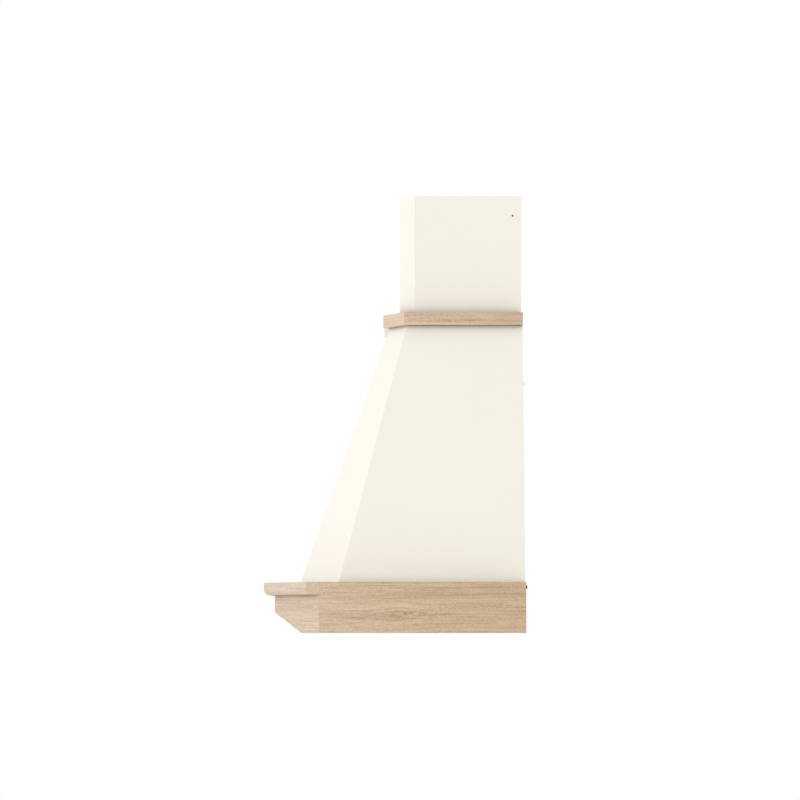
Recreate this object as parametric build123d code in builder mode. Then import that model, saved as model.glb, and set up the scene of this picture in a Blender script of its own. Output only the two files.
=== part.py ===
"""Wooden range hood cover with chamfered front corners, and the built-in extractor that it houses.

Frame: X runs along the wall, the wall is the plane Y = 0 and the front faces -Y, Z is up.
The origin is on the wall, on the centre line, level with the lower edge of the wood frame.
All lengths are millimetres, all angles degrees.
"""

from build123d import *
from math import cos, radians, tan
import os

# ---------------------------------------------------------------- plan outlines
CHAMFER_ANGLE = 30  # how far the corner panels turn from the front

# Half width, depth from the back of the wood to the front face, and how far the corner takes
# up of that depth.
FRAME_HALF_WIDTH = 300
FRAME_FRONT_DEPTH = 498
FRAME_CORNER_DEPTH = 92
BODY_TOP_HALF_WIDTH = 160
BODY_TOP_FRONT_DEPTH = 267.2
BODY_TOP_CORNER_DEPTH = 33.7

# How far the frame stands out past the foot of the body, as a shelf.
SHELF_AT_SIDE = 45
SHELF_AT_CORNER = 38.5
SHELF_AT_FRONT = 50.3
# How far the cornice stands out past the body's top, and the chimney stands in from it.
CORNICE_AT_SIDE = 14
CORNICE_AT_CORNER = 5.5
CORNICE_AT_FRONT = 13.8
CHIMNEY_AT_SIDE = 18
CHIMNEY_AT_CORNER = 16.5
CHIMNEY_AT_FRONT = 20.2

# ---------------------------------------------------------------- heights
FRAME_HEIGHT = 100
FRAME_FRONT_HEIGHT = 60  # the front board is lower than the side boards
BODY_HEIGHT = 517
CORNICE_HEIGHT = 26
CHIMNEY_VISIBLE_HEIGHT = 239
CHIMNEY_TRAVEL = 100  # how far the chimney can be drawn up towards a ceiling
CHIMNEY_GUIDED_HEIGHT = 50  # what still stands inside the neck when it is drawn right up

# ---------------------------------------------------------------- boards and panels
FRAME_BOARD = 22
BODY_PANEL = 12
CHIMNEY_PANEL = 10
LEDGE_BOARD = 18
LEDGE_SEAT = 8  # how far the ledge boards reach inside the body's panels
INSERT_BOARD = 16
INSERT_BOARD_RECESS = 6  # from the front board's lower edge up to the insert board
BATTEN = 20
RAIL_BOARD = 18
CORNER_CUT_START = 0.4  # share of a corner board's length that keeps its full height
MOULDING_PROJECTION = 22
MOULDING_HEIGHT = 25
MOULDING_LOWER_RADIUS = 12
MOULDING_UPPER_RADIUS = 2
CORNICE_LOWER_RADIUS = 3
CORNICE_UPPER_RADIUS = 1
FRAME_ARRIS = 0.8  # planed off the frame's outer lower edges
CORNER_BATTEN_LEG = 18
REST_BATTEN_HEIGHT = 16
REST_BATTEN_LENGTH = 140
REST_BATTEN_REACH = 14  # how far it reaches under the chimney's side panel

# ---------------------------------------------------------------- wall side
WALL_STANDOFF = 2.5  # buffers and pads hold the wood off the wall
CHIMNEY_BACK_GAP = 4.5
BUFFER_RADIUS = 3.5
BUFFER_CENTRE_Z = 90
PAD_RADIUS = 2.5
PAD_CENTRE_Z = 498
HANGING_RAIL_Z = 400
HANGING_RAIL_HEIGHT = 60
HANGING_HOLE_SPACING = 240
LOWER_RAIL_HEIGHT = 40
LOWER_HOLE_SPACING = 400
WALL_HOLE_RADIUS = 3.25  # in both rails, for the screws into the wall
FRAME_RAIL_HEIGHT = 60
FIXING_HOLE_RADIUS = 2  # in the chimney's side panels
FIXING_HOLE_BELOW_TOP = 40
FIXING_HOLE_FROM_BACK = 17
BRACKET_SHEET = 1.5
BRACKET_HEIGHT = 36
BRACKET_DEPTH = 32
BRACKET_SCREW_SPACING = 160
BRACKET_SCREW_RADIUS = 3
BRACKET_THREAD_RADIUS = 1.6  # in the tabs, for the screws through the chimney's side panels

# ---------------------------------------------------------------- extractor
SHEET = 1.5
CUTOUT_SIDE_MARGIN = 27  # from the side boards to the cut-out
CUTOUT_BACK_MARGIN = 24.5  # from the back rail to the cut-out
CUTOUT_DEPTH = 262
TRIM_SIDE_LAP = 10
TRIM_FRONT_LAP = 14
TRIM_CORNER_RADIUS = 8
PAN_GAP = 2  # between the pan and the cut-out, all round
PAN_HEIGHT = 26
CASING_SIDE_STEP = 49  # from the pan's side in to the casing's
CASING_FRONT_STEP = 4
CASING_HEIGHT = 158
DUCT_RADIUS = 60
DUCT_FROM_CASING_BACK = 73
COLLAR_HEIGHT = 45
COLLAR_FLANGE_RADIUS = 72
FLAP_LEDGE_Z = 14  # top of the ledge that the flaps lie on, above the casing
FLAP_LEDGE_WIDTH = 5
FLAP_THICKNESS = 1.2
FLAP_EDGE_GAP = 1
FLAP_ROD_RADIUS = 2
FLAP_BARREL_RADIUS = 4
FLAP_BARREL_LENGTH = 16
FLAP_BARREL_PLACES = [-36, -12, 12, 36]  # front flap, back flap, front flap, back flap
RUNNING_CLEARANCE = 0.05

FILTER_SIDE_MARGIN = 13.5  # from the pan's inside to the filters
FILTER_BACK_MARGIN = 11  # from the cut-out's back edge to the filters
FILTER_THICKNESS = 9
FILTER_BORDER = 10
FILTER_POCKET = 2.5
FILTER_GAP = 0.5
FILTER_BACK_GAP = 2
FILTER_BAR = 10  # the trim between the two filters
FILTER_PIN_RADIUS = 1.5
FILTER_PIN_LENGTH = 3
FILTER_PIN_FROM_BACK = 3
FILTER_PIN_Z = 4  # above the trim's lower face
EAR_HEIGHT = 7
EAR_DEPTH = 8
EAR_THICKNESS = 2.7
HANDLE_WIDTH = 44
HANDLE_DEPTH = 12
HANDLE_DROP = 5
HANDLE_WALL = 2

STRIP_DEPTH = 65  # the band for lamps and buttons, along the cut-out's front edge
STRIP_CENTRE = 32  # from the cut-out's front edge to the lamps and buttons
LAMP_FROM_END = 54
LAMP_TUBE_RADIUS = 24.7
LAMP_TUBE_WALL = 1.7
LAMP_TUBE_HEIGHT = 14
LAMP_FLANGE_RADIUS = 31
LAMP_LIP_RADIUS = 21
LENS_THICKNESS = 2
PANEL_WIDTH = 130
PANEL_DEPTH = 30
PANEL_CORNER_RADIUS = 4
PANEL_HOUSING_WIDTH = 118
PANEL_HOUSING_DEPTH = 18
PANEL_HOUSING_HEIGHT = 12
PANEL_HOUSING_WALL = 1.2
BUTTON_NAMES = ["light", "off", "speed_1", "speed_2", "speed_3"]
BUTTON_SPACING = 22
BUTTON_WIDTH = 14
BUTTON_DEPTH = 8
BUTTON_FLANGE_LAP = 1.3  # how far the flange stands out past the key, all round
BUTTON_FLANGE_THICKNESS = 1.2
BUTTON_TRAVEL = 2
BUTTON_PROUD = 1  # how far a pressed button still stands out of the panel
BUTTON_STEM = 3
BUTTON_EDGE = 1

WHEEL_RADIUS = 52
WHEEL_INNER_RADIUS = 41
WHEEL_HALF_WIDTH = 48
WHEEL_BLADES = 24
WHEEL_BLADE_THICKNESS = 1
WHEEL_BLADE_TURN = 50  # a blade's turn from the radius
WHEEL_BLADE_INSET = 1  # from the rings' outer edge in to the blades
WHEEL_RING_THICKNESS = 2
WHEEL_DISC_THICKNESS = 2
HUB_RADIUS = 12
HUB_HALF_LENGTH = 8
SHAFT_RADIUS = 4
SCROLL_START_GAP = 6  # between the wheel and the scroll's tongue
SCROLL_GROWTH = 7  # how much each quarter turn's radius grows
SCROLL_HALF_WIDTH = 55
INLET_RADIUS = 43
MOTOR_RADIUS = 30
MOTOR_LENGTH = 64
MOTOR_FACE_X = -14
MOTOR_BORE_DEPTH = 20
MOTOR_EDGE = 3
MOTOR_ARM_WIDTH = 12
MOTOR_ARM_MIDDLE = 39
MOTOR_ARM_END = 50
FAN_BELOW_TOP = 81.5  # from the casing's top down to the fan's axis

# ---------------------------------------------------------------- clearances
SLIDE_GAP = 0.5  # round the chimney, where it slides in the neck
SEAT_GAP = 0.3  # between a moving piece and what it rests on

# ---------------------------------------------------------------- derived places
FRAME_SIDE_DEPTH = FRAME_FRONT_DEPTH - FRAME_CORNER_DEPTH
BODY_TOP_SIDE_DEPTH = BODY_TOP_FRONT_DEPTH - BODY_TOP_CORNER_DEPTH
BODY_LOW_HALF_WIDTH = FRAME_HALF_WIDTH - SHELF_AT_SIDE
BODY_LOW_SIDE_DEPTH = FRAME_SIDE_DEPTH - SHELF_AT_CORNER
BODY_LOW_FRONT_DEPTH = FRAME_FRONT_DEPTH - SHELF_AT_FRONT
CORNICE_HALF_WIDTH = BODY_TOP_HALF_WIDTH + CORNICE_AT_SIDE
CORNICE_SIDE_DEPTH = BODY_TOP_SIDE_DEPTH + CORNICE_AT_CORNER
CORNICE_FRONT_DEPTH = BODY_TOP_FRONT_DEPTH + CORNICE_AT_FRONT
CHIMNEY_HALF_WIDTH = BODY_TOP_HALF_WIDTH - CHIMNEY_AT_SIDE
CHIMNEY_SIDE_DEPTH = BODY_TOP_SIDE_DEPTH - CHIMNEY_AT_CORNER
CHIMNEY_FRONT_DEPTH = BODY_TOP_FRONT_DEPTH - CHIMNEY_AT_FRONT

BACK_Y = -WALL_STANDOFF
RAIL_FRONT_Y = BACK_Y - FRAME_BOARD
BODY_BOTTOM_Z = FRAME_HEIGHT
BODY_TOP_Z = BODY_BOTTOM_Z + BODY_HEIGHT
CORNICE_TOP_Z = BODY_TOP_Z + CORNICE_HEIGHT
CHIMNEY_TOP_Z = CORNICE_TOP_Z + CHIMNEY_VISIBLE_HEIGHT
CHIMNEY_BOTTOM_Z = CORNICE_TOP_Z - CHIMNEY_TRAVEL - CHIMNEY_GUIDED_HEIGHT
FIXING_HOLE_Z = CHIMNEY_TOP_Z - FIXING_HOLE_BELOW_TOP
FIXING_HOLE_Y = -CHIMNEY_BACK_GAP - FIXING_HOLE_FROM_BACK
LEDGE_BOTTOM_Z = FRAME_HEIGHT - LEDGE_BOARD
FRONT_BOARD_BOTTOM_Z = FRAME_HEIGHT - FRAME_FRONT_HEIGHT
INSERT_BOARD_BOTTOM_Z = FRONT_BOARD_BOTTOM_Z + INSERT_BOARD_RECESS
INSERT_BOARD_TOP_Z = INSERT_BOARD_BOTTOM_Z + INSERT_BOARD
SAW_MARGIN = 60  # how far a blank stands over before it is sawn to size

CUTOUT_WIDTH = 2 * (FRAME_HALF_WIDTH - FRAME_BOARD - CUTOUT_SIDE_MARGIN)
CUTOUT_BACK_Y = RAIL_FRONT_Y - CUTOUT_BACK_MARGIN
CUTOUT_Y = CUTOUT_BACK_Y - CUTOUT_DEPTH / 2
TRIM_WIDTH = CUTOUT_WIDTH + 2 * TRIM_SIDE_LAP
TRIM_DEPTH = CUTOUT_DEPTH + 2 * TRIM_FRONT_LAP
TRIM_BOTTOM_Z = INSERT_BOARD_BOTTOM_Z - SHEET
PAN_WIDTH = CUTOUT_WIDTH - 2 * PAN_GAP
PAN_DEPTH = CUTOUT_DEPTH - 2 * PAN_GAP
PAN_TOP_Z = INSERT_BOARD_BOTTOM_Z + PAN_HEIGHT
CASING_WIDTH = PAN_WIDTH - 2 * CASING_SIDE_STEP
CASING_DEPTH = PAN_DEPTH - 2 * CASING_FRONT_STEP
CASING_TOP_Z = PAN_TOP_Z + CASING_HEIGHT
DUCT_Y = CUTOUT_Y + CASING_DEPTH / 2 - DUCT_FROM_CASING_BACK
DUCT_BORE = DUCT_RADIUS - SHEET
FILTERS_WIDTH = PAN_WIDTH - 2 * SHEET - 2 * FILTER_SIDE_MARGIN
FILTER_WIDTH = (FILTERS_WIDTH - FILTER_BAR - 4 * FILTER_GAP) / 2
FILTER_DEPTH = CUTOUT_DEPTH - FILTER_BACK_MARGIN - STRIP_DEPTH
FILTER_BACK_Y = CUTOUT_BACK_Y - FILTER_BACK_MARGIN
FILTER_AXIS_Y = FILTER_BACK_Y - FILTER_PIN_FROM_BACK
FILTER_AXIS_Z = TRIM_BOTTOM_Z + FILTER_PIN_Z
FILTER_CENTRE_X = FILTER_BAR / 2 + FILTER_GAP + FILTER_WIDTH / 2
FILTER_CENTRE_Y = FILTER_BACK_Y - FILTER_DEPTH / 2
STRIP_Y = CUTOUT_BACK_Y - CUTOUT_DEPTH + STRIP_CENTRE
LAMP_SPACING = PAN_WIDTH - 2 * LAMP_FROM_END

FLAP_BOTTOM_Z = CASING_TOP_Z + FLAP_LEDGE_Z + SEAT_GAP
FLAP_AXIS_Z = FLAP_BOTTOM_Z + FLAP_THICKNESS + SEAT_GAP + FLAP_BARREL_RADIUS
FLAP_RADIUS = DUCT_BORE - FLAP_EDGE_GAP

FACET_NAMES = ["side_right", "corner_right", "front", "corner_left", "side_left"]
LAST_FACET = len(FACET_NAMES) - 1


# ---------------------------------------------------------------- plan geometry
def outline(half_width, side_depth, front_depth, back_y=BACK_Y):
    """The six plan points of a chamfered box, from its right back corner round the front."""
    front_half_width = half_width - (front_depth - side_depth) / tan(radians(CHAMFER_ANGLE))
    right_half = [
        (half_width, back_y),
        (half_width, BACK_Y - side_depth),
        (front_half_width, BACK_Y - front_depth),
    ]
    return right_half + [(-x, y) for x, y in reversed(right_half)]


def inset(points, distance):
    """The same outline with its side, corner and front faces moved inwards."""
    side_corner_shift = distance * tan(radians(90 - CHAMFER_ANGLE) / 2)
    front_corner_shift = distance * tan(radians(CHAMFER_ANGLE) / 2)
    (side_x, back_y), (_, side_y), (front_x, front_y) = points[:3]
    right_half = [
        (side_x - distance, back_y),
        (side_x - distance, side_y + side_corner_shift),
        (front_x - front_corner_shift, front_y + distance),
    ]
    return right_half + [(-x, y) for x, y in reversed(right_half)]


def at_height(points, z):
    return [Vector(x, y, z) for x, y in points]


def facet_plane(low, high, facet):
    """The outer plane of one facet: X along the facet, Z out of the cover."""
    along = (low[facet + 1] - low[facet]).normalized()
    outward = (high[facet] - low[facet]).cross(along).normalized()
    centre = (low[facet] + low[facet + 1] + high[facet] + high[facet + 1]) * 0.25
    return Plane(origin=centre, x_dir=along, z_dir=outward)


def mitre_plane(low, high, facet):
    """The saw plane between a facet and the next one: Z points to the first of them."""
    this_way = facet_plane(low, high, facet).z_dir
    next_way = facet_plane(low, high, facet + 1).z_dir
    return Plane(origin=low[facet + 1], z_dir=this_way - next_way)


def back_plane(y):
    """A plane along the wall that keeps what is in front of it."""
    return Plane(origin=(0, y, 0), x_dir=(1, 0, 0), z_dir=(0, -1, 0))


FRAME = outline(FRAME_HALF_WIDTH, FRAME_SIDE_DEPTH, FRAME_FRONT_DEPTH)
FRAME_INNER = inset(
    outline(FRAME_HALF_WIDTH, FRAME_SIDE_DEPTH, FRAME_FRONT_DEPTH, RAIL_FRONT_Y), FRAME_BOARD
)
BODY_LOW = outline(BODY_LOW_HALF_WIDTH, BODY_LOW_SIDE_DEPTH, BODY_LOW_FRONT_DEPTH)
LEDGE_OPENING = inset(
    outline(BODY_LOW_HALF_WIDTH, BODY_LOW_SIDE_DEPTH, BODY_LOW_FRONT_DEPTH, RAIL_FRONT_Y),
    BODY_PANEL + LEDGE_SEAT,
)
BODY_TOP = outline(BODY_TOP_HALF_WIDTH, BODY_TOP_SIDE_DEPTH, BODY_TOP_FRONT_DEPTH)
CORNICE = outline(CORNICE_HALF_WIDTH, CORNICE_SIDE_DEPTH, CORNICE_FRONT_DEPTH)
CORNICE_OPENING = inset(
    outline(CHIMNEY_HALF_WIDTH, CHIMNEY_SIDE_DEPTH, CHIMNEY_FRONT_DEPTH), -SLIDE_GAP
)
CHIMNEY = outline(
    CHIMNEY_HALF_WIDTH, CHIMNEY_SIDE_DEPTH, CHIMNEY_FRONT_DEPTH, -CHIMNEY_BACK_GAP
)

FRAME_LOW_RING = at_height(FRAME, 0)
FRAME_TOP_RING = at_height(FRAME, FRAME_HEIGHT)
BODY_LOW_RING = at_height(BODY_LOW, BODY_BOTTOM_Z)
BODY_TOP_RING = at_height(BODY_TOP, BODY_TOP_Z)
CHIMNEY_LOW_RING = at_height(CHIMNEY, CHIMNEY_BOTTOM_Z)
CHIMNEY_TOP_RING = at_height(CHIMNEY, CHIMNEY_TOP_Z)


def save(piece, label):
    piece.part.label = label
    export_step(piece.part, f"parts/{label}.step")


# ---------------------------------------------------------------- sawn panels
def sawn_panel(low, high, facet, thickness, extra_cuts=()):
    """A flat panel on one facet, sawn at its mitres, its ends and any extra cuts.

    Where low and high differ in plan the facet leans, and the mitres come out compound.
    """
    plane = facet_plane(low, high, facet)
    length = (low[facet + 1] - low[facet]).length
    slant = (high[facet] - low[facet]).length
    with BuildPart() as panel:
        with BuildSketch(plane):
            Rectangle(2 * length + 2 * SAW_MARGIN, slant + 2 * SAW_MARGIN)
        extrude(amount=-thickness)
        if facet > 0:
            split(bisect_by=mitre_plane(low, high, facet - 1), keep=Keep.BOTTOM)
        else:
            split(bisect_by=back_plane(low[0].Y), keep=Keep.TOP)
        if facet < LAST_FACET:
            split(bisect_by=mitre_plane(low, high, facet), keep=Keep.TOP)
        else:
            split(bisect_by=back_plane(low[-1].Y), keep=Keep.TOP)
        split(bisect_by=Plane.XY.offset(low[0].Z), keep=Keep.TOP)
        split(bisect_by=Plane.XY.offset(high[0].Z), keep=Keep.BOTTOM)
        for cut in extra_cuts:
            split(bisect_by=cut, keep=Keep.TOP)
    return panel


def flat_board(outer, inner, facet, bottom_z, thickness):
    """A level mitred board between two plan outlines, along one facet."""
    with BuildPart() as board:
        with BuildSketch(Plane.XY.offset(bottom_z)):
            with BuildLine():
                Polyline(
                    outer[facet], outer[facet + 1], inner[facet + 1], inner[facet], close=True
                )
            make_face()
        extrude(amount=thickness)
    return board


# ---------------------------------------------------------------- wood frame
def slope_cut(facet):
    """The slanted lower edge of a corner board, which rises to the front board's lower edge."""
    if facet == 1:
        side_end, front_end = FRAME_LOW_RING[1], FRAME_LOW_RING[2]
    else:
        side_end, front_end = FRAME_LOW_RING[4], FRAME_LOW_RING[3]
    start = side_end + (front_end - side_end) * CORNER_CUT_START
    slope = front_end + Vector(0, 0, FRONT_BOARD_BOTTOM_Z) - start
    outward = facet_plane(FRAME_LOW_RING, FRAME_TOP_RING, facet).z_dir
    upward = outward.cross(slope)
    if upward.Z < 0:
        upward = upward * -1
    return Plane(origin=start, x_dir=slope, z_dir=upward)


def frame_board(facet):
    name = FACET_NAMES[facet]
    cuts = []
    if name == "front":
        cuts.append(Plane.XY.offset(FRONT_BOARD_BOTTOM_Z))
    if "corner" in name:
        cuts.append(slope_cut(facet))
    board = sawn_panel(FRAME_LOW_RING, FRAME_TOP_RING, facet, FRAME_BOARD, cuts)
    outer_plane = facet_plane(FRAME_LOW_RING, FRAME_TOP_RING, facet)
    with BuildPart() as planed:
        add(board.part)
        outer_face = faces().sort_by(Axis(outer_plane.origin, outer_plane.z_dir))[-1]
        low_edges = outer_face.edges().filter_by(Axis.Z, reverse=True).sort_by(Axis.Z)[:-1]
        chamfer(low_edges, length=FRAME_ARRIS)
    return planed


def shelf_moulding(facet):
    """A length of rounded moulding: mitred at the front corners, cut flush with the sides."""
    start = FRAME_TOP_RING[facet]
    length = (FRAME_TOP_RING[facet + 1] - start).length
    face = facet_plane(FRAME_LOW_RING, FRAME_TOP_RING, facet)
    profile_plane = Plane(
        origin=start - face.x_dir * SAW_MARGIN, x_dir=face.z_dir, z_dir=face.x_dir
    )
    with BuildPart() as moulding:
        with BuildSketch(profile_plane):
            Rectangle(MOULDING_PROJECTION, MOULDING_HEIGHT, align=(Align.MIN, Align.MAX))
            outer_corners = vertices().group_by(Axis.X)[-1].sort_by(Axis.Y)
            fillet(outer_corners[0], radius=MOULDING_LOWER_RADIUS)
            top_corner = vertices().group_by(Axis.Y)[-1].sort_by(Axis.X)[-1]
            fillet(top_corner, radius=MOULDING_UPPER_RADIUS)
        extrude(amount=length + 2 * SAW_MARGIN)
        if facet > 1:
            split(bisect_by=mitre_plane(FRAME_LOW_RING, FRAME_TOP_RING, facet - 1), keep=Keep.BOTTOM)
        if facet < 3:
            split(bisect_by=mitre_plane(FRAME_LOW_RING, FRAME_TOP_RING, facet), keep=Keep.TOP)
        split(bisect_by=Plane.YZ.offset(FRAME_HALF_WIDTH), keep=Keep.BOTTOM)
        split(bisect_by=Plane.YZ.offset(-FRAME_HALF_WIDTH), keep=Keep.TOP)
    return moulding


def frame_back_rail():
    with BuildPart() as rail:
        with BuildSketch(Plane.XY.offset(FRAME_HEIGHT - FRAME_RAIL_HEIGHT)):
            with Locations((0, (BACK_Y + RAIL_FRONT_Y) / 2)):
                Rectangle(2 * (FRAME_HALF_WIDTH - FRAME_BOARD), FRAME_BOARD)
        extrude(amount=FRAME_RAIL_HEIGHT)
    return rail


def insert_board():
    """The board in the frame that the extractor hangs in, with its cut-out."""
    with BuildPart() as board:
        with BuildSketch(Plane.XY.offset(INSERT_BOARD_BOTTOM_Z)):
            with BuildLine():
                Polyline(*FRAME_INNER, close=True)
            make_face()
            with Locations((0, CUTOUT_Y)):
                Rectangle(CUTOUT_WIDTH, CUTOUT_DEPTH, mode=Mode.SUBTRACT)
        extrude(amount=INSERT_BOARD)
    return board


def insert_battens():
    """Battens between the insert board and the ledge boards: one at each side, one in front."""
    side_x = FRAME_INNER[0][0] - BATTEN / 2
    side_start_y = RAIL_FRONT_Y
    side_end_y = FRAME_INNER[1][1] + BATTEN
    front_y = FRAME_INNER[2][1] + BATTEN / 2
    front_length = 2 * (FRAME_INNER[2][0] - BATTEN)
    with BuildPart() as battens:
        with BuildSketch(Plane.XY.offset(INSERT_BOARD_TOP_Z)):
            with Locations(
                (side_x, (side_start_y + side_end_y) / 2),
                (-side_x, (side_start_y + side_end_y) / 2),
            ):
                Rectangle(BATTEN, side_start_y - side_end_y)
            with Locations((0, front_y)):
                Rectangle(front_length, BATTEN)
        extrude(amount=LEDGE_BOTTOM_Z - INSERT_BOARD_TOP_Z)
    return battens


# ---------------------------------------------------------------- body
def body_inner_side(facet):
    """The inner face of a body panel, as a plane whose Z points out of the cover."""
    return facet_plane(BODY_LOW_RING, BODY_TOP_RING, facet).offset(-BODY_PANEL)


def body_rail(bottom_z, height, hole_spacing):
    """A rail along the wall, sawn to the leaning side panels, with two holes for wall screws."""
    with BuildPart() as rail:
        with BuildSketch(Plane.XY.offset(bottom_z)):
            with Locations((0, BACK_Y)):
                Rectangle(
                    2 * BODY_LOW_HALF_WIDTH, RAIL_BOARD, align=(Align.CENTER, Align.MAX)
                )
        extrude(amount=height)
        split(bisect_by=body_inner_side(0), keep=Keep.BOTTOM)
        split(bisect_by=body_inner_side(LAST_FACET), keep=Keep.BOTTOM)
        with BuildSketch(Plane.XZ.offset(WALL_STANDOFF)):
            with Locations((0, bottom_z + height / 2)):
                with GridLocations(hole_spacing, 0, 2, 1):
                    Circle(WALL_HOLE_RADIUS)
        extrude(amount=RAIL_BOARD, mode=Mode.SUBTRACT)
    return rail


def corner_batten(corner):
    """A triangular batten glued into the mitre at one corner of the body."""
    first = facet_plane(BODY_LOW_RING, BODY_TOP_RING, corner - 1).z_dir
    second = facet_plane(BODY_LOW_RING, BODY_TOP_RING, corner).z_dir
    low = BODY_LOW_RING[corner]
    high = BODY_TOP_RING[corner]
    arris = (high - low).normalized()
    to_inside = (first + second) * (-BODY_PANEL / (1 + first.dot(second)))
    along_first = arris.cross(first).normalized()
    if along_first.dot(second) > 0:
        along_first = along_first * -1
    along_second = arris.cross(second).normalized()
    if along_second.dot(first) > 0:
        along_second = along_second * -1
    section = Plane(origin=(low + high) * 0.5 + to_inside, x_dir=along_first, z_dir=arris)
    third_corner = section.to_local_coords(section.origin + along_second * CORNER_BATTEN_LEG)
    with BuildPart() as batten:
        with BuildSketch(section):
            with BuildLine():
                Polyline(
                    (0, 0), (CORNER_BATTEN_LEG, 0), (third_corner.X, third_corner.Y), close=True
                )
            make_face()
        extrude(amount=BODY_HEIGHT, both=True)
        split(bisect_by=Plane.XY.offset(BODY_BOTTOM_Z), keep=Keep.TOP)
        batten_top_z = CHIMNEY_BOTTOM_Z - REST_BATTEN_HEIGHT
        split(bisect_by=Plane.XY.offset(batten_top_z), keep=Keep.BOTTOM)
    return batten


def body_corner_battens():
    with BuildPart() as battens:
        for corner in range(1, LAST_FACET + 1):
            add(corner_batten(corner).part)
    return battens


def chimney_rest_battens():
    """Two battens on the body's side panels that the chimney stands on when it is right down."""
    inner_x = CHIMNEY_HALF_WIDTH - REST_BATTEN_REACH
    top_z = CHIMNEY_BOTTOM_Z - SEAT_GAP
    middle_y = BACK_Y - CHIMNEY_SIDE_DEPTH / 2
    with BuildPart() as battens:
        with BuildSketch(Plane.XZ.offset(-middle_y)):
            with Locations((inner_x, top_z)):
                Rectangle(
                    BODY_LOW_HALF_WIDTH - inner_x,
                    REST_BATTEN_HEIGHT,
                    align=(Align.MIN, Align.MAX),
                )
        extrude(amount=REST_BATTEN_LENGTH / 2, both=True)
        split(bisect_by=body_inner_side(0), keep=Keep.BOTTOM)
        mirror(about=Plane.YZ)
    return battens


# ---------------------------------------------------------------- cornice
def cornice_board(facet):
    board = flat_board(CORNICE, CORNICE_OPENING, facet, BODY_TOP_Z, CORNICE_HEIGHT)
    middle_x = (CORNICE[facet][0] + CORNICE[facet + 1][0]) / 2
    middle_y = (CORNICE[facet][1] + CORNICE[facet + 1][1]) / 2
    with BuildPart() as rounded:
        add(board.part)
        low_edge = edges().sort_by_distance((middle_x, middle_y, BODY_TOP_Z))[0]
        fillet(low_edge, radius=CORNICE_LOWER_RADIUS)
        top_edge = edges().sort_by_distance((middle_x, middle_y, CORNICE_TOP_Z))[0]
        fillet(top_edge, radius=CORNICE_UPPER_RADIUS)
    return rounded


# ---------------------------------------------------------------- chimney
def chimney_panel(facet):
    panel = sawn_panel(CHIMNEY_LOW_RING, CHIMNEY_TOP_RING, facet, CHIMNEY_PANEL)
    if "side" not in FACET_NAMES[facet]:
        return panel
    with BuildPart() as drilled:
        add(panel.part)
        with BuildSketch(Plane.YZ):
            with Locations((FIXING_HOLE_Y, FIXING_HOLE_Z)):
                Circle(FIXING_HOLE_RADIUS)
        extrude(amount=CHIMNEY_HALF_WIDTH, both=True, mode=Mode.SUBTRACT)
    return drilled


def chimney_bracket():
    """The steel bracket on the wall that the chimney's side panels are screwed to."""
    half_width = CHIMNEY_HALF_WIDTH - CHIMNEY_PANEL
    with BuildPart() as bracket:
        with BuildSketch(Plane.XY.offset(FIXING_HOLE_Z - BRACKET_HEIGHT / 2)):
            with Locations((0, -CHIMNEY_BACK_GAP)):
                Rectangle(2 * half_width, BRACKET_DEPTH, align=(Align.CENTER, Align.MAX))
            with Locations((0, -CHIMNEY_BACK_GAP - BRACKET_SHEET)):
                Rectangle(
                    2 * (half_width - BRACKET_SHEET),
                    BRACKET_DEPTH,
                    align=(Align.CENTER, Align.MAX),
                    mode=Mode.SUBTRACT,
                )
            fillet(vertices().group_by(Axis.Y)[-1], radius=2 * BRACKET_SHEET)
        extrude(amount=BRACKET_HEIGHT)
        with BuildSketch(Plane.XZ):
            with Locations((0, FIXING_HOLE_Z)):
                with GridLocations(BRACKET_SCREW_SPACING, 0, 2, 1):
                    Circle(BRACKET_SCREW_RADIUS)
        extrude(amount=CHIMNEY_BACK_GAP + BRACKET_SHEET, mode=Mode.SUBTRACT)
        with BuildSketch(Plane.YZ):
            with Locations((FIXING_HOLE_Y, FIXING_HOLE_Z)):
                Circle(BRACKET_THREAD_RADIUS)
        extrude(amount=half_width, both=True, mode=Mode.SUBTRACT)
    return bracket


# ---------------------------------------------------------------- wall buffers
def wall_buttons(radius, centre_x, centre_z):
    """A pair of round buttons on the back of the wood, as thick as the gap to the wall."""
    with BuildPart() as buttons:
        with BuildSketch(Plane.XZ):
            with Locations((centre_x, centre_z), (-centre_x, centre_z)):
                Circle(radius)
        extrude(amount=WALL_STANDOFF)
    return buttons


def side_panel_middle_x(z):
    """Where the middle of a body side panel's back edge is at a height."""
    rise = (z - BODY_BOTTOM_Z) / BODY_HEIGHT
    outer_x = BODY_LOW_HALF_WIDTH + (BODY_TOP_HALF_WIDTH - BODY_LOW_HALF_WIDTH) * rise
    return outer_x - BODY_PANEL / 2


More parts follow.
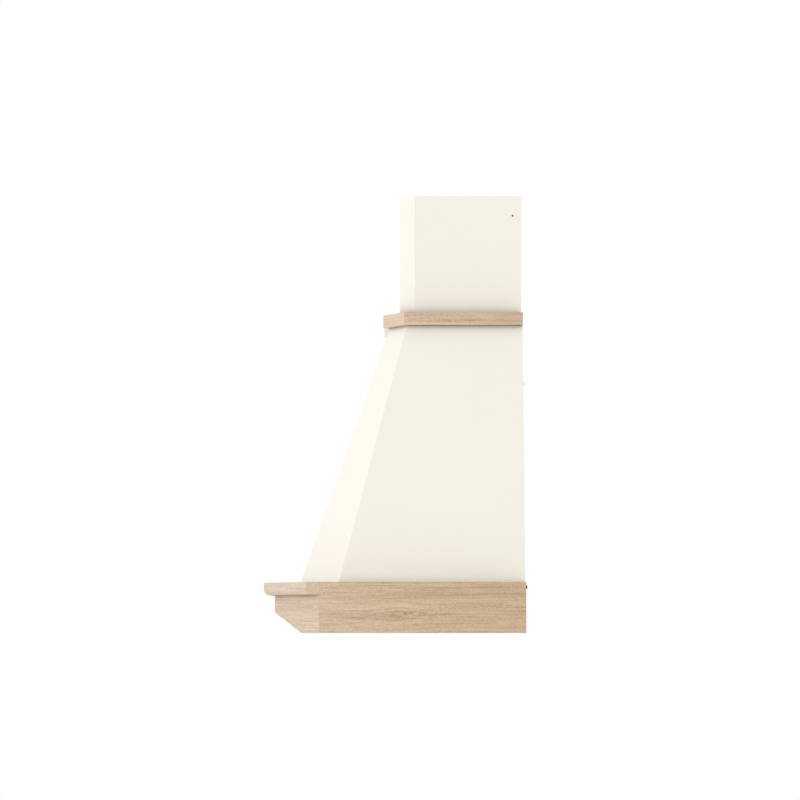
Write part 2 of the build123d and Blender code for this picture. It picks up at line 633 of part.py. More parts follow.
# ---------------------------------------------------------------- extractor: sheet metal
def insert_trim():
    """The plate under the insert board, open for the filters, the lamps and the buttons."""
    aperture_depth = FILTER_DEPTH + FILTER_GAP + FILTER_BACK_GAP
    aperture_y = FILTER_BACK_Y + FILTER_BACK_GAP - aperture_depth / 2
    ear_x = FILTER_BAR / 2 + FILTER_WIDTH + 2 * FILTER_GAP + EAR_THICKNESS / 2
    with BuildPart() as trim:
        with BuildSketch(Plane.XY.offset(TRIM_BOTTOM_Z)):
            with Locations((0, CUTOUT_Y)):
                RectangleRounded(TRIM_WIDTH, TRIM_DEPTH, TRIM_CORNER_RADIUS)
            with Locations((FILTER_CENTRE_X, aperture_y), (-FILTER_CENTRE_X, aperture_y)):
                Rectangle(FILTER_WIDTH + 2 * FILTER_GAP, aperture_depth, mode=Mode.SUBTRACT)
            with Locations((LAMP_SPACING / 2, STRIP_Y), (-LAMP_SPACING / 2, STRIP_Y)):
                Circle(LAMP_TUBE_RADIUS + SEAT_GAP, mode=Mode.SUBTRACT)
            with Locations((0, STRIP_Y)):
                Rectangle(
                    PANEL_HOUSING_WIDTH + 2 * SEAT_GAP,
                    PANEL_HOUSING_DEPTH + 2 * SEAT_GAP,
                    mode=Mode.SUBTRACT,
                )
        extrude(amount=SHEET)
        with BuildSketch(Plane.XY.offset(INSERT_BOARD_BOTTOM_Z)):
            with Locations((ear_x, FILTER_AXIS_Y), (-ear_x, FILTER_AXIS_Y)):
                Rectangle(EAR_THICKNESS, EAR_DEPTH)
            with Locations((0, FILTER_AXIS_Y)):
                Rectangle(FILTER_BAR - 2 * FILTER_GAP, EAR_DEPTH)
        extrude(amount=EAR_HEIGHT)
        with BuildSketch(Plane.YZ):
            with Locations((FILTER_AXIS_Y, FILTER_AXIS_Z)):
                Circle(FILTER_PIN_RADIUS + RUNNING_CLEARANCE)
        extrude(amount=TRIM_WIDTH / 2, both=True, mode=Mode.SUBTRACT)
    return trim


def insert_pan():
    """The shallow pan that stands in the cut-out."""
    with BuildPart() as pan:
        with BuildSketch(Plane.XY.offset(INSERT_BOARD_BOTTOM_Z)):
            with Locations((0, CUTOUT_Y)):
                Rectangle(PAN_WIDTH, PAN_DEPTH)
        extrude(amount=PAN_HEIGHT)
        with BuildSketch(Plane.XY.offset(INSERT_BOARD_BOTTOM_Z)):
            with Locations((0, CUTOUT_Y)):
                Rectangle(PAN_WIDTH - 2 * SHEET, PAN_DEPTH - 2 * SHEET)
        extrude(amount=PAN_HEIGHT - SHEET, mode=Mode.SUBTRACT)
        with BuildSketch(Plane.XY.offset(INSERT_BOARD_BOTTOM_Z)):
            with Locations((0, CUTOUT_Y)):
                Rectangle(CASING_WIDTH - 2 * SHEET, CASING_DEPTH - 2 * SHEET)
        extrude(amount=PAN_HEIGHT, mode=Mode.SUBTRACT)
    return pan


def insert_casing():
    """The tall box on the pan that holds the fan, with the round outlet in its top."""
    with BuildPart() as casing:
        with BuildSketch(Plane.XY.offset(PAN_TOP_Z)):
            with Locations((0, CUTOUT_Y)):
                Rectangle(CASING_WIDTH, CASING_DEPTH)
        extrude(amount=CASING_HEIGHT)
        with BuildSketch(Plane.XY.offset(PAN_TOP_Z)):
            with Locations((0, CUTOUT_Y)):
                Rectangle(CASING_WIDTH - 2 * SHEET, CASING_DEPTH - 2 * SHEET)
        extrude(amount=CASING_HEIGHT - SHEET, mode=Mode.SUBTRACT)
        with BuildSketch(Plane.XY.offset(PAN_TOP_Z)):
            with Locations((0, DUCT_Y)):
                Circle(DUCT_BORE)
        extrude(amount=CASING_HEIGHT, mode=Mode.SUBTRACT)
    return casing


# ---------------------------------------------------------------- extractor: outlet and flaps
def outlet_collar():
    """The spigot for the duct, with the flaps' ledge and the rod that they hinge on."""
    with BuildPart() as collar:
        with BuildSketch(Plane.XY.offset(CASING_TOP_Z)):
            with Locations((0, DUCT_Y)):
                Circle(COLLAR_FLANGE_RADIUS)
        extrude(amount=SHEET)
        with BuildSketch(Plane.XY.offset(CASING_TOP_Z)):
            with Locations((0, DUCT_Y)):
                Circle(DUCT_RADIUS)
        extrude(amount=COLLAR_HEIGHT)
        with BuildSketch(Plane.XY.offset(CASING_TOP_Z)):
            with Locations((0, DUCT_Y)):
                Circle(DUCT_BORE)
        extrude(amount=COLLAR_HEIGHT, mode=Mode.SUBTRACT)
        with BuildSketch(Plane.XY.offset(CASING_TOP_Z + FLAP_LEDGE_Z - SHEET)):
            with Locations((0, DUCT_Y)):
                Circle(DUCT_BORE + SHEET / 2)
                Circle(DUCT_BORE - FLAP_LEDGE_WIDTH, mode=Mode.SUBTRACT)
        extrude(amount=SHEET)
        with BuildSketch(Plane.YZ):
            with Locations((DUCT_Y, FLAP_AXIS_Z)):
                Circle(FLAP_ROD_RADIUS)
        extrude(amount=DUCT_BORE + SHEET / 2, both=True)
    return collar


def damper_flap(front):
    """Half a disc with two barrels on the rod: the front and back flaps' barrels alternate."""
    way = -1 if front else 1
    places = FLAP_BARREL_PLACES[0::2] if front else FLAP_BARREL_PLACES[1::2]
    with BuildPart() as flap:
        with BuildSketch(Plane.XY.offset(FLAP_BOTTOM_Z)):
            with Locations((0, DUCT_Y)):
                Circle(FLAP_RADIUS)
                Rectangle(
                    2 * FLAP_RADIUS,
                    2 * FLAP_RADIUS,
                    align=(Align.CENTER, Align.MIN if front else Align.MAX),
                    mode=Mode.SUBTRACT,
                )
            with Locations((0, DUCT_Y)):
                Rectangle(2 * FLAP_RADIUS, 2 * SEAT_GAP, mode=Mode.SUBTRACT)
        extrude(amount=FLAP_THICKNESS)
        for place in places:
            with BuildSketch(Plane.YZ.offset(place)):
                with Locations((DUCT_Y, FLAP_AXIS_Z)):
                    Circle(FLAP_BARREL_RADIUS)
                with Locations((DUCT_Y + way * FLAP_BARREL_RADIUS / 2, FLAP_BOTTOM_Z)):
                    Rectangle(
                        FLAP_BARREL_RADIUS,
                        FLAP_AXIS_Z - FLAP_BOTTOM_Z,
                        align=(Align.CENTER, Align.MIN),
                    )
            extrude(amount=FLAP_BARREL_LENGTH / 2, both=True)
        with BuildSketch(Plane.YZ):
            with Locations((DUCT_Y, FLAP_AXIS_Z)):
                Circle(FLAP_ROD_RADIUS + RUNNING_CLEARANCE)
        extrude(amount=FLAP_RADIUS, both=True, mode=Mode.SUBTRACT)
    return flap


# ---------------------------------------------------------------- extractor: fan
SCROLL_RADII = [
    WHEEL_RADIUS + SCROLL_START_GAP,
    WHEEL_RADIUS + SCROLL_START_GAP + SCROLL_GROWTH,
    WHEEL_RADIUS + SCROLL_START_GAP + 2 * SCROLL_GROWTH,
]
THROAT_BACK = SCROLL_RADII[2] + SCROLL_GROWTH  # from the fan's axis to the throat's back wall
FAN_Y = DUCT_Y - THROAT_BACK / 2
FAN_Z = CASING_TOP_Z - FAN_BELOW_TOP
FAN_PLANE = Plane(origin=(0, FAN_Y, FAN_Z), x_dir=(0, 1, 0), z_dir=(1, 0, 0))


def fan_scroll():
    """The spiral housing: three quarter turns of growing radius, then the throat up to the outlet."""
    first, second, third = SCROLL_RADII
    throat_back = SCROLL_GROWTH + third
    throat_top = CASING_TOP_Z - SHEET - FAN_Z
    with BuildSketch(FAN_PLANE, mode=Mode.PRIVATE) as air_space:
        with BuildLine():
            CenterArc((0, 0), first, 90, 90)
            CenterArc((SCROLL_GROWTH, 0), second, 180, 90)
            CenterArc((SCROLL_GROWTH, SCROLL_GROWTH), third, 270, 90)
            Polyline(
                (throat_back, SCROLL_GROWTH), (throat_back, throat_top), (0, throat_top), (0, first)
            )
        make_face()
    with BuildPart() as scroll:
        with BuildSketch(FAN_PLANE):
            add(air_space.sketch_local)
            offset(amount=SHEET, kind=Kind.INTERSECTION)
        extrude(amount=SCROLL_HALF_WIDTH + SHEET, both=True)
        with BuildSketch(FAN_PLANE):
            add(air_space.sketch_local)
        extrude(amount=SCROLL_HALF_WIDTH, both=True, mode=Mode.SUBTRACT)
        split(bisect_by=Plane.XY.offset(CASING_TOP_Z - SHEET), keep=Keep.BOTTOM)
        with BuildSketch(FAN_PLANE):
            Circle(INLET_RADIUS)
        extrude(amount=SCROLL_HALF_WIDTH + SHEET, both=True, mode=Mode.SUBTRACT)
    return scroll


def fan_wheel():
    """A squirrel cage: a disc with its hub, forward curved blades and a ring at each end."""
    blade_outer = WHEEL_RADIUS - WHEEL_BLADE_INSET
    blade_middle = (blade_outer + WHEEL_INNER_RADIUS) / 2
    blade_chord = (blade_outer - WHEEL_INNER_RADIUS) / cos(radians(WHEEL_BLADE_TURN))
    with BuildPart() as wheel:
        with BuildSketch(FAN_PLANE):
            Circle(blade_middle)
        extrude(amount=WHEEL_DISC_THICKNESS / 2, both=True)
        with BuildSketch(FAN_PLANE):
            Circle(HUB_RADIUS)
        extrude(amount=HUB_HALF_LENGTH, both=True)
        with BuildSketch(FAN_PLANE):
            with PolarLocations(blade_middle, WHEEL_BLADES):
                Rectangle(blade_chord, WHEEL_BLADE_THICKNESS, rotation=WHEEL_BLADE_TURN)
        extrude(amount=WHEEL_HALF_WIDTH - WHEEL_RING_THICKNESS / 2, both=True)
        for side in (-1, 1):
            ring_x = side * (WHEEL_HALF_WIDTH - WHEEL_RING_THICKNESS / 2)
            with BuildSketch(FAN_PLANE.offset(ring_x)):
                Circle(WHEEL_RADIUS)
                Circle(blade_middle, mode=Mode.SUBTRACT)
            extrude(amount=WHEEL_RING_THICKNESS / 2, both=True)
        with BuildSketch(FAN_PLANE):
            Circle(SHAFT_RADIUS)
        extrude(amount=HUB_HALF_LENGTH, both=True, mode=Mode.SUBTRACT)
    return wheel


def fan_shaft():
    start_x = MOTOR_FACE_X - MOTOR_BORE_DEPTH + SEAT_GAP
    with BuildPart() as shaft:
        with BuildSketch(FAN_PLANE.offset(start_x)):
            Circle(SHAFT_RADIUS)
        extrude(amount=HUB_HALF_LENGTH - start_x)
    return shaft


def fan_motor():
    """The motor in the left inlet, held by three arms on the scroll's side."""
    arm_x = -SCROLL_HALF_WIDTH - SHEET
    with BuildPart() as motor:
        with BuildSketch(FAN_PLANE.offset(MOTOR_FACE_X)):
            Circle(MOTOR_RADIUS)
        extrude(amount=-MOTOR_LENGTH)
        chamfer(edges().filter_by(GeomType.CIRCLE), length=MOTOR_EDGE)
        with BuildSketch(FAN_PLANE.offset(arm_x)):
            with PolarLocations(MOTOR_ARM_MIDDLE, 3):
                Rectangle(2 * (MOTOR_ARM_END - MOTOR_ARM_MIDDLE), MOTOR_ARM_WIDTH)
        extrude(amount=-2 * SHEET)
        with BuildSketch(FAN_PLANE.offset(MOTOR_FACE_X)):
            Circle(SHAFT_RADIUS + RUNNING_CLEARANCE)
        extrude(amount=-MOTOR_BORE_DEPTH, mode=Mode.SUBTRACT)
    return motor


# ---------------------------------------------------------------- extractor: grease filters
def grease_filter(side):
    """A metal mesh in a frame, with a pin at each back end and a pull in front."""
    centre_x = side * FILTER_CENTRE_X
    mesh_width = FILTER_WIDTH - 2 * FILTER_BORDER
    mesh_depth = FILTER_DEPTH - 2 * FILTER_BORDER
    pull_y = FILTER_BACK_Y - FILTER_DEPTH + FILTER_BORDER + HANDLE_DEPTH / 2
    with BuildPart() as grease_filter:
        with BuildSketch(Plane.XY.offset(TRIM_BOTTOM_Z)):
            with Locations((centre_x, FILTER_CENTRE_Y)):
                Rectangle(FILTER_WIDTH, FILTER_DEPTH)
        extrude(amount=FILTER_THICKNESS)
        for level in (TRIM_BOTTOM_Z, TRIM_BOTTOM_Z + FILTER_THICKNESS - FILTER_POCKET):
            with BuildSketch(Plane.XY.offset(level)):
                with Locations((centre_x, FILTER_CENTRE_Y)):
                    Rectangle(mesh_width, mesh_depth)
            extrude(amount=FILTER_POCKET, mode=Mode.SUBTRACT)
        with BuildSketch(Plane.YZ.offset(centre_x)):
            with Locations((FILTER_AXIS_Y, FILTER_AXIS_Z)):
                Circle(FILTER_PIN_RADIUS)
        extrude(amount=FILTER_WIDTH / 2 + FILTER_PIN_LENGTH, both=True)
        pull_top_z = TRIM_BOTTOM_Z + FILTER_POCKET
        with BuildSketch(Plane.XY.offset(TRIM_BOTTOM_Z - HANDLE_DROP)):
            with Locations((centre_x, pull_y)):
                Rectangle(HANDLE_WIDTH, HANDLE_DEPTH)
        extrude(amount=pull_top_z - TRIM_BOTTOM_Z + HANDLE_DROP)
        with BuildSketch(Plane.XY.offset(TRIM_BOTTOM_Z - HANDLE_DROP + HANDLE_WALL)):
            with Locations((centre_x, pull_y + HANDLE_WALL)):
                Rectangle(HANDLE_WIDTH - 2 * HANDLE_WALL, HANDLE_DEPTH)
        extrude(amount=pull_top_z - TRIM_BOTTOM_Z + HANDLE_DROP - HANDLE_WALL, mode=Mode.SUBTRACT)
    return grease_filter


# ---------------------------------------------------------------- extractor: lamps and buttons
def lamp_bezels():
    """Two lamp housings: a flange under the trim, a lip for the lens and a closed tube."""
    with BuildPart() as bezels:
        flange_bottom_z = TRIM_BOTTOM_Z - SHEET
        with BuildSketch(Plane.XY.offset(flange_bottom_z)):
            with Locations((LAMP_SPACING / 2, STRIP_Y), (-LAMP_SPACING / 2, STRIP_Y)):
                Circle(LAMP_FLANGE_RADIUS)
                Circle(LAMP_LIP_RADIUS, mode=Mode.SUBTRACT)
        extrude(amount=SHEET)
        with BuildSketch(Plane.XY.offset(TRIM_BOTTOM_Z)):
            with Locations((LAMP_SPACING / 2, STRIP_Y), (-LAMP_SPACING / 2, STRIP_Y)):
                Circle(LAMP_TUBE_RADIUS)
        extrude(amount=LAMP_TUBE_HEIGHT)
        with BuildSketch(Plane.XY.offset(TRIM_BOTTOM_Z)):
            with Locations((LAMP_SPACING / 2, STRIP_Y), (-LAMP_SPACING / 2, STRIP_Y)):
                Circle(LAMP_TUBE_RADIUS - LAMP_TUBE_WALL)
        extrude(amount=LAMP_TUBE_HEIGHT - LAMP_TUBE_WALL, mode=Mode.SUBTRACT)
    return bezels


def lamp_lenses():
    with BuildPart() as lenses:
        with BuildSketch(Plane.XY.offset(TRIM_BOTTOM_Z)):
            with Locations((LAMP_SPACING / 2, STRIP_Y), (-LAMP_SPACING / 2, STRIP_Y)):
                Circle(LAMP_TUBE_RADIUS - LAMP_TUBE_WALL - SEAT_GAP)
        extrude(amount=LENS_THICKNESS)
    return lenses


def button_x(index):
    return (index - (len(BUTTON_NAMES) - 1) / 2) * BUTTON_SPACING


def control_panel():
    """The plate with the button holes, and the housing behind it in the trim's slot."""
    with BuildPart() as panel:
        with BuildSketch(Plane.XY.offset(TRIM_BOTTOM_Z - SHEET)):
            with Locations((0, STRIP_Y)):
                Rectangle(PANEL_WIDTH, PANEL_DEPTH)
            fillet(vertices(), radius=PANEL_CORNER_RADIUS)
        extrude(amount=SHEET)
        with BuildSketch(Plane.XY.offset(TRIM_BOTTOM_Z)):
            with Locations((0, STRIP_Y)):
                Rectangle(PANEL_HOUSING_WIDTH, PANEL_HOUSING_DEPTH)
        extrude(amount=PANEL_HOUSING_HEIGHT)
        with BuildSketch(Plane.XY.offset(TRIM_BOTTOM_Z)):
            with Locations((0, STRIP_Y)):
                Rectangle(
                    PANEL_HOUSING_WIDTH - 2 * PANEL_HOUSING_WALL,
                    PANEL_HOUSING_DEPTH - 2 * PANEL_HOUSING_WALL,
                )
        extrude(amount=PANEL_HOUSING_HEIGHT - PANEL_HOUSING_WALL, mode=Mode.SUBTRACT)
        with BuildSketch(Plane.XY.offset(TRIM_BOTTOM_Z - SHEET)):
            with Locations((0, STRIP_Y)):
                with GridLocations(BUTTON_SPACING, 0, len(BUTTON_NAMES), 1):
                    Rectangle(BUTTON_WIDTH + 2 * SEAT_GAP, BUTTON_DEPTH + 2 * SEAT_GAP)
        extrude(amount=SHEET, mode=Mode.SUBTRACT)
    return panel


def push_button(index):
    """A key that moves up into the panel, with the flange that keeps it in."""
    place = (button_x(index), STRIP_Y)
    cap_bottom_z = TRIM_BOTTOM_Z - SHEET - BUTTON_PROUD - BUTTON_TRAVEL
    with BuildPart() as button:
        with BuildSketch(Plane.XY.offset(cap_bottom_z)):
            with Locations(place):
                Rectangle(BUTTON_WIDTH, BUTTON_DEPTH)
        extrude(amount=TRIM_BOTTOM_Z + BUTTON_STEM - cap_bottom_z)
        chamfer(edges().group_by(Axis.Z)[0], length=BUTTON_EDGE)
        with BuildSketch(Plane.XY.offset(TRIM_BOTTOM_Z + SEAT_GAP)):
            with Locations(place):
                Rectangle(
                    BUTTON_WIDTH + 2 * BUTTON_FLANGE_LAP, BUTTON_DEPTH + 2 * BUTTON_FLANGE_LAP
                )
        extrude(amount=BUTTON_FLANGE_THICKNESS)
    return button


# ---------------------------------------------------------------- all pieces
os.makedirs("parts", exist_ok=True)

for facet, name in enumerate(FACET_NAMES):
    place = name.replace("side_", "").replace("corner_", "")
    kind = name.split("_")[0]
    suffix = "" if kind == "front" else f"_{place}"
    save(frame_board(facet), f"frame_{kind}_board{suffix}")
    save(
        flat_board(FRAME_INNER, LEDGE_OPENING, facet, LEDGE_BOTTOM_Z, LEDGE_BOARD),
        f"ledge_{kind}_board{suffix}",
    )
    save(sawn_panel(BODY_LOW_RING, BODY_TOP_RING, facet, BODY_PANEL), f"body_{kind}_panel{suffix}")
    save(cornice_board(facet), f"cornice_{kind}{suffix}")
    save(chimney_panel(facet), f"chimney_{kind}_panel{suffix}")
    if kind != "side":
        save(shelf_moulding(facet), f"shelf_moulding_{kind}{suffix}")

save(frame_back_rail(), "frame_back_rail")
save(insert_board(), "insert_board")
save(insert_battens(), "insert_battens")
save(body_rail(HANGING_RAIL_Z, HANGING_RAIL_HEIGHT, HANGING_HOLE_SPACING), "body_hanging_rail")
save(body_rail(BODY_BOTTOM_Z, LOWER_RAIL_HEIGHT, LOWER_HOLE_SPACING), "body_lower_rail")
save(body_corner_battens(), "body_corner_battens")
save(chimney_rest_battens(), "chimney_rest_battens")
save(chimney_bracket(), "chimney_wall_bracket")
save(
    wall_buttons(BUFFER_RADIUS, FRAME_HALF_WIDTH - FRAME_BOARD / 2, BUFFER_CENTRE_Z),
    "wall_buffers",
)
save(wall_buttons(PAD_RADIUS, side_panel_middle_x(PAD_CENTRE_Z), PAD_CENTRE_Z), "wall_pads")

save(insert_trim(), "insert_trim")
save(insert_pan(), "insert_pan")
save(insert_casing(), "insert_casing")
save(outlet_collar(), "outlet_collar")
save(damper_flap(front=True), "damper_flap_front")
save(damper_flap(front=False), "damper_flap_back")
save(fan_scroll(), "fan_scroll")
save(fan_wheel(), "fan_wheel")
save(fan_shaft(), "fan_shaft")
save(fan_motor(), "fan_motor")
save(grease_filter(1), "grease_filter_right")
save(grease_filter(-1), "grease_filter_left")
save(lamp_bezels(), "lamp_bezels")
save(lamp_lenses(), "lamp_lenses")
save(control_panel(), "control_panel")
for index, name in enumerate(BUTTON_NAMES):
    save(push_button(index), f"button_{name}")
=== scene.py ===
# %% [markdown]
# # A wooden range hood cover
# The cover hangs on a kitchen wall above the hob. A bare wood frame carries a painted body that
# tapers up to a wood cornice, and a chimney slides in its neck. The CAD model already holds every
# piece at its real size, so this lesson adds finishes, small fixings, a camera and light.
# Everything is in metres: X runs along the wall, the wall is Y = 0, and Z is up.

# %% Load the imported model
import math
import bmesh
import bpy
from mathutils import Matrix, Vector


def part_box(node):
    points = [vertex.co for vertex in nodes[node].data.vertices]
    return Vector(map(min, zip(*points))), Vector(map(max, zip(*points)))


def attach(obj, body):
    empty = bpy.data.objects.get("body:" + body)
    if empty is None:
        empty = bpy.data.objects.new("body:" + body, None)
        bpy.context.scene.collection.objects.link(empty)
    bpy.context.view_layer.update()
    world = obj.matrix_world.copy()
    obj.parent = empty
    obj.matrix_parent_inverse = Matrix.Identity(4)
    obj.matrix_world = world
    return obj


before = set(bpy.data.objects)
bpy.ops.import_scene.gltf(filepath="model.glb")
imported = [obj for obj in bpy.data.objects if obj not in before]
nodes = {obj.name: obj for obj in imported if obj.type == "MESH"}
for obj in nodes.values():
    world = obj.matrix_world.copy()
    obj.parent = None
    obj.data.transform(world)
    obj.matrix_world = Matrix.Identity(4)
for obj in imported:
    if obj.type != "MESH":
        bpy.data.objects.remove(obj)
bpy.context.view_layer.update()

# %% [markdown]
# ## Small helpers for materials
# A material is a tree of nodes. Adding a node and linking it takes the same few lines each time,
# so a few helpers do it. Colours are easier to judge as screen values from 0 to 255, and the
# shader wants linear light, so one helper converts them.

# %% Colours and nodes
def screen_colour(red, green, blue):
    """A screen colour, 0 to 255, as the linear colour that a shader takes."""
    def linear(value):
        value = value / 255
        return value / 12.92 if value <= 0.04045 else ((value + 0.055) / 1.055) ** 2.4
    return (linear(red), linear(green), linear(blue), 1.0)


def fill_inputs(tree, node, values):
    """Fills a node's inputs, by name or number: a socket is linked, a plain value is set."""
    for socket, value in values.items():
        if isinstance(value, bpy.types.NodeSocket):
            tree.links.new(value, node.inputs[socket])
        else:
            node.inputs[socket].default_value = value
    return node


def add_node(tree, kind, values=None, **settings):
    """Adds a node, sets its properties and fills its inputs."""
    made = tree.nodes.new("ShaderNode" + kind)
    for name, value in settings.items():
        setattr(made, name, value)
    return fill_inputs(tree, made, values or {})


print("node helpers ready")

# %% [markdown]
# Most patterns are a little arithmetic on values, vectors and colours. Each of these helpers
# adds one such step and gives its output, so that a line of code reads like the sum.

# %% Sums, noise and colour mixing
MOST_NOISE = (0.3, 0.7)  # most values of a noise lie in this range


def calculate(tree, operation, first, second=None, clamp=False):
    """One Math node: the operation on one or two values."""
    values = {0: first} if second is None else {0: first, 1: second}
    return add_node(tree, "Math", values, operation=operation, use_clamp=clamp).outputs[0]


def product(tree, first, second):
    """The first value times the second."""
    return calculate(tree, "MULTIPLY", first, second)


def calculate_vector(tree, operation, first, second):
    """One Vector Math node: the operation on two vectors."""
    return add_node(tree, "VectorMath", {0: first, 1: second}, operation=operation).outputs[0]


def axes_of(tree, vector):
    """The X, Y and Z of a vector, as three values."""
    return add_node(tree, "SeparateXYZ", {0: vector}).outputs


def stretched(tree, vector, x, y, z):
    """The vector scaled on each axis, for streaks longer one way than the other."""
    return add_node(tree, "Mapping", {"Vector": vector, "Scale": (x, y, z)}).outputs[0]


def noise(tree, vector, scale=1.0, detail=2.0, roughness=0.5):
    """Smooth noise: the first output is a value, and Color holds three at once."""
    values = {"Vector": vector, "Scale": scale, "Detail": detail, "Roughness": roughness}
    return add_node(tree, "TexNoise", values)


def between(tree, value, low, high, to_low=0.0, to_high=1.0):
    """Maps a value from one range to another, clamped."""
    values = {"Value": value, "From Min": low, "From Max": high,
              "To Min": to_low, "To Max": to_high}
    return add_node(tree, "MapRange", values).outputs[0]


def mix_colour(tree, share, first, second, blend="MIX"):
    """The first colour where the share is 0, and the blend of both where it is 1."""
    values = {0: share, 6: first, 7: second}
    return add_node(tree, "Mix", values, data_type="RGBA", blend_type=blend).outputs[2]


def times(tree, colour, share, tone):
    """The colour, multiplied by a tone where the share is 1."""
    toned = mix_colour(tree, 1.0, colour, (*tone, 1.0), "MULTIPLY")
    return mix_colour(tree, share, colour, toned)


print("pattern helpers ready")

# %% [markdown]
# A finish that several materials use is a node group: it is built once and placed in each of
# them with its own values. Every finish here puts out a colour, a roughness and a height, so
# one helper can link any of them to a shader. Patterns follow Object coordinates, which are
# real places in metres here, because every piece has its place in its mesh.

# %% Groups and materials
SOCKETS = {"vector": "NodeSocketVector", "value": "NodeSocketFloat", "colour": "NodeSocketColor"}
FINISH = {"Color": "colour", "Roughness": "value", "Height": "value"}
dressed = set()


def start_group(name, inputs, outputs):
    """A new node group with named sockets; returns its tree, input node and output node."""
    tree = bpy.data.node_groups.new(name, "ShaderNodeTree")
    for way, sockets in (("INPUT", inputs), ("OUTPUT", outputs)):
        for socket, kind in sockets.items():
            tree.interface.new_socket(socket, in_out=way, socket_type=SOCKETS[kind])
    return tree, tree.nodes.new("NodeGroupInput"), tree.nodes.new("NodeGroupOutput")


def place_group(tree, group, values):
    """Places a group in a tree and fills its inputs."""
    return add_node(tree, "Group", values, node_tree=group)


def shader_of(material):
    """The material's shader."""
    return material.node_tree.nodes["Principled BSDF"]


def start_material(name):
    """A new material with its Principled shader; returns material, tree and shader."""
    material = bpy.data.materials.new(name)
    material.use_nodes = True
    return material, material.node_tree, shader_of(material)


def object_vector(tree, turn=0.0):
    """Object coordinates, turned about Z by some degrees so that X runs along a board."""
    coordinates = add_node(tree, "TexCoord").outputs["Object"]
    angle = (0.0, 0.0, math.radians(-turn))
    return add_node(tree, "Mapping", {"Vector": coordinates, "Rotation": angle}).outputs[0]


def finish_shader(tree, shader, made, bump_strength, bump_depth):
    """Links a placed group's colour, roughness and height to the shader."""
    bump = add_node(tree, "Bump", {
        "Strength": bump_strength, "Distance": bump_depth, "Height": made.outputs["Height"]})
    fill_inputs(tree, shader, {
        "Base Color": made.outputs["Color"], "Roughness": made.outputs["Roughness"],
        "Normal": bump.outputs[0]})


def dress(material, *names):
    """Gives the material to CAD nodes."""
    for name in names:
        mesh = nodes[name].data
        mesh.materials.clear()
        mesh.materials.append(material)
        dressed.add(name)


print("material helpers ready")

# %% [markdown]
# ## Painted shade in the corners
# Where two pieces meet, the colour is darkened as painted shade, so the seam looks deeper than
# the lamps and the world alone make it. Ambient Occlusion tells how open a point is. The group
# turns that into painted shade, so paint and wood can share it with shade tones of their own.

# %% The corner painted shade group
# Painted shade: the openness at which it is full, where it ends, and how fast it fades
SHADE_FULL, SHADE_NONE, SHADE_FALLOFF = 0.40, 0.78, 1.3
corner_shade, given, result = start_group(
    "corner_painted_shade", {"Color": "colour", "Open": "value", "Shade": "colour"}, {"Color": "colour"})
closed = between(corner_shade, given.outputs["Open"], SHADE_FULL, SHADE_NONE, 1.0, 0.0)
closed = calculate(corner_shade, "POWER", closed, SHADE_FALLOFF)
shaded_colour = mix_colour(corner_shade, 1.0, given.outputs["Color"], given.outputs["Shade"], "MULTIPLY")
fill_inputs(corner_shade, result, {"Color": mix_colour(corner_shade, closed, given.outputs["Color"], shaded_colour)})


def with_corner_shade(tree, colour, shade_tone, reach):
    """The colour with painted shade in corners, as far from them as the reach in metres."""
    openness = add_node(tree, "AmbientOcclusion", {"Distance": reach}, samples=8).outputs["AO"]
    return place_group(tree, corner_shade, {"Color": colour, "Open": openness, "Shade": shade_tone}).outputs[0]


print("dust group", len(corner_shade.nodes), "nodes")

# %% [markdown]
# ## Bare wood
# The frame, the shelf moulding and the cornice are sanded wood with no varnish. Real wood has
# growth rings round a heart, and a board is a flat slice beside it, so its face shows long lines
# that bend round knots. A picture of wood would not carry on round the edges, so the pattern is
# built in three dimensions. Every point gets its distance from a heart line that runs along the
# board, and the rings, streaks and fibres are noise that is long along the board and short
# across that distance. A knot spreads the distance, and then all lines flow round it by themselves.
#
# The knot comes first. Its group measures how far a point is from the knot, in half lengths
# along the board and half heights across it. Three things follow: how far the lines are spread,
# the dark rim of the eye, and the busy grain near it, which is strongest beside the eye.

# %% A knot in a board
SPREAD_FADE, SPREAD_SHARE, RIM_SHARPNESS = 0.04, 0.5, 6.0
NEAR_FADE_ALONG, NEAR_FADE_ACROSS, NEAR_RISE = 0.014, 0.5, 0.6
swell, given, result = start_group(
    "knot_swell",
    {"Board": "vector", "Knot": "vector", "Half length": "value", "Half height": "value",
     "Rim": "value"},
    {"Swell": "value", "Eye": "value", "Near": "value"})
from_knot = calculate_vector(swell, "SUBTRACT", given.outputs["Board"], given.outputs["Knot"])
from_knot_x, _, from_knot_z = axes_of(swell, from_knot)
along = calculate(swell, "DIVIDE", from_knot_x, given.outputs["Half length"])
across = calculate(swell, "DIVIDE", from_knot_z, given.outputs["Half height"])
along_square = product(swell, along, along)
across_square = product(swell, across, across)
square = calculate(swell, "ADD", along_square, across_square)

fade = calculate(swell, "EXPONENT", product(swell, square, -SPREAD_FADE))
spread = product(swell, product(swell, from_knot_z, fade), -SPREAD_SHARE)

from_rim = calculate(swell, "SUBTRACT", calculate(swell, "SQRT", square), given.outputs["Rim"])
eye = product(swell, from_rim, from_rim)
eye = calculate(swell, "EXPONENT", product(swell, eye, -RIM_SHARPNESS))

near = calculate(swell, "ADD", product(swell, along_square, -NEAR_FADE_ALONG),
                 product(swell, across_square, -NEAR_FADE_ACROSS))
near_rise = calculate(swell, "MULTIPLY", square, NEAR_RISE, clamp=True)
near = product(swell, calculate(swell, "EXPONENT", near), near_rise)
fill_inputs(swell, result, {"Swell": spread, "Eye": eye, "Near": near})
print("knot group", len(swell.nodes), "nodes")

# %% [markdown]
# The grain group starts with the board's own coordinates. A board that is glued up from two
# strips gets another seed above its glue line, so that the grain breaks there. No trunk is quite
# straight, so a slow and a small noise bend the coordinates, and a third curls them near a knot.
# Only then is the distance from the heart taken.

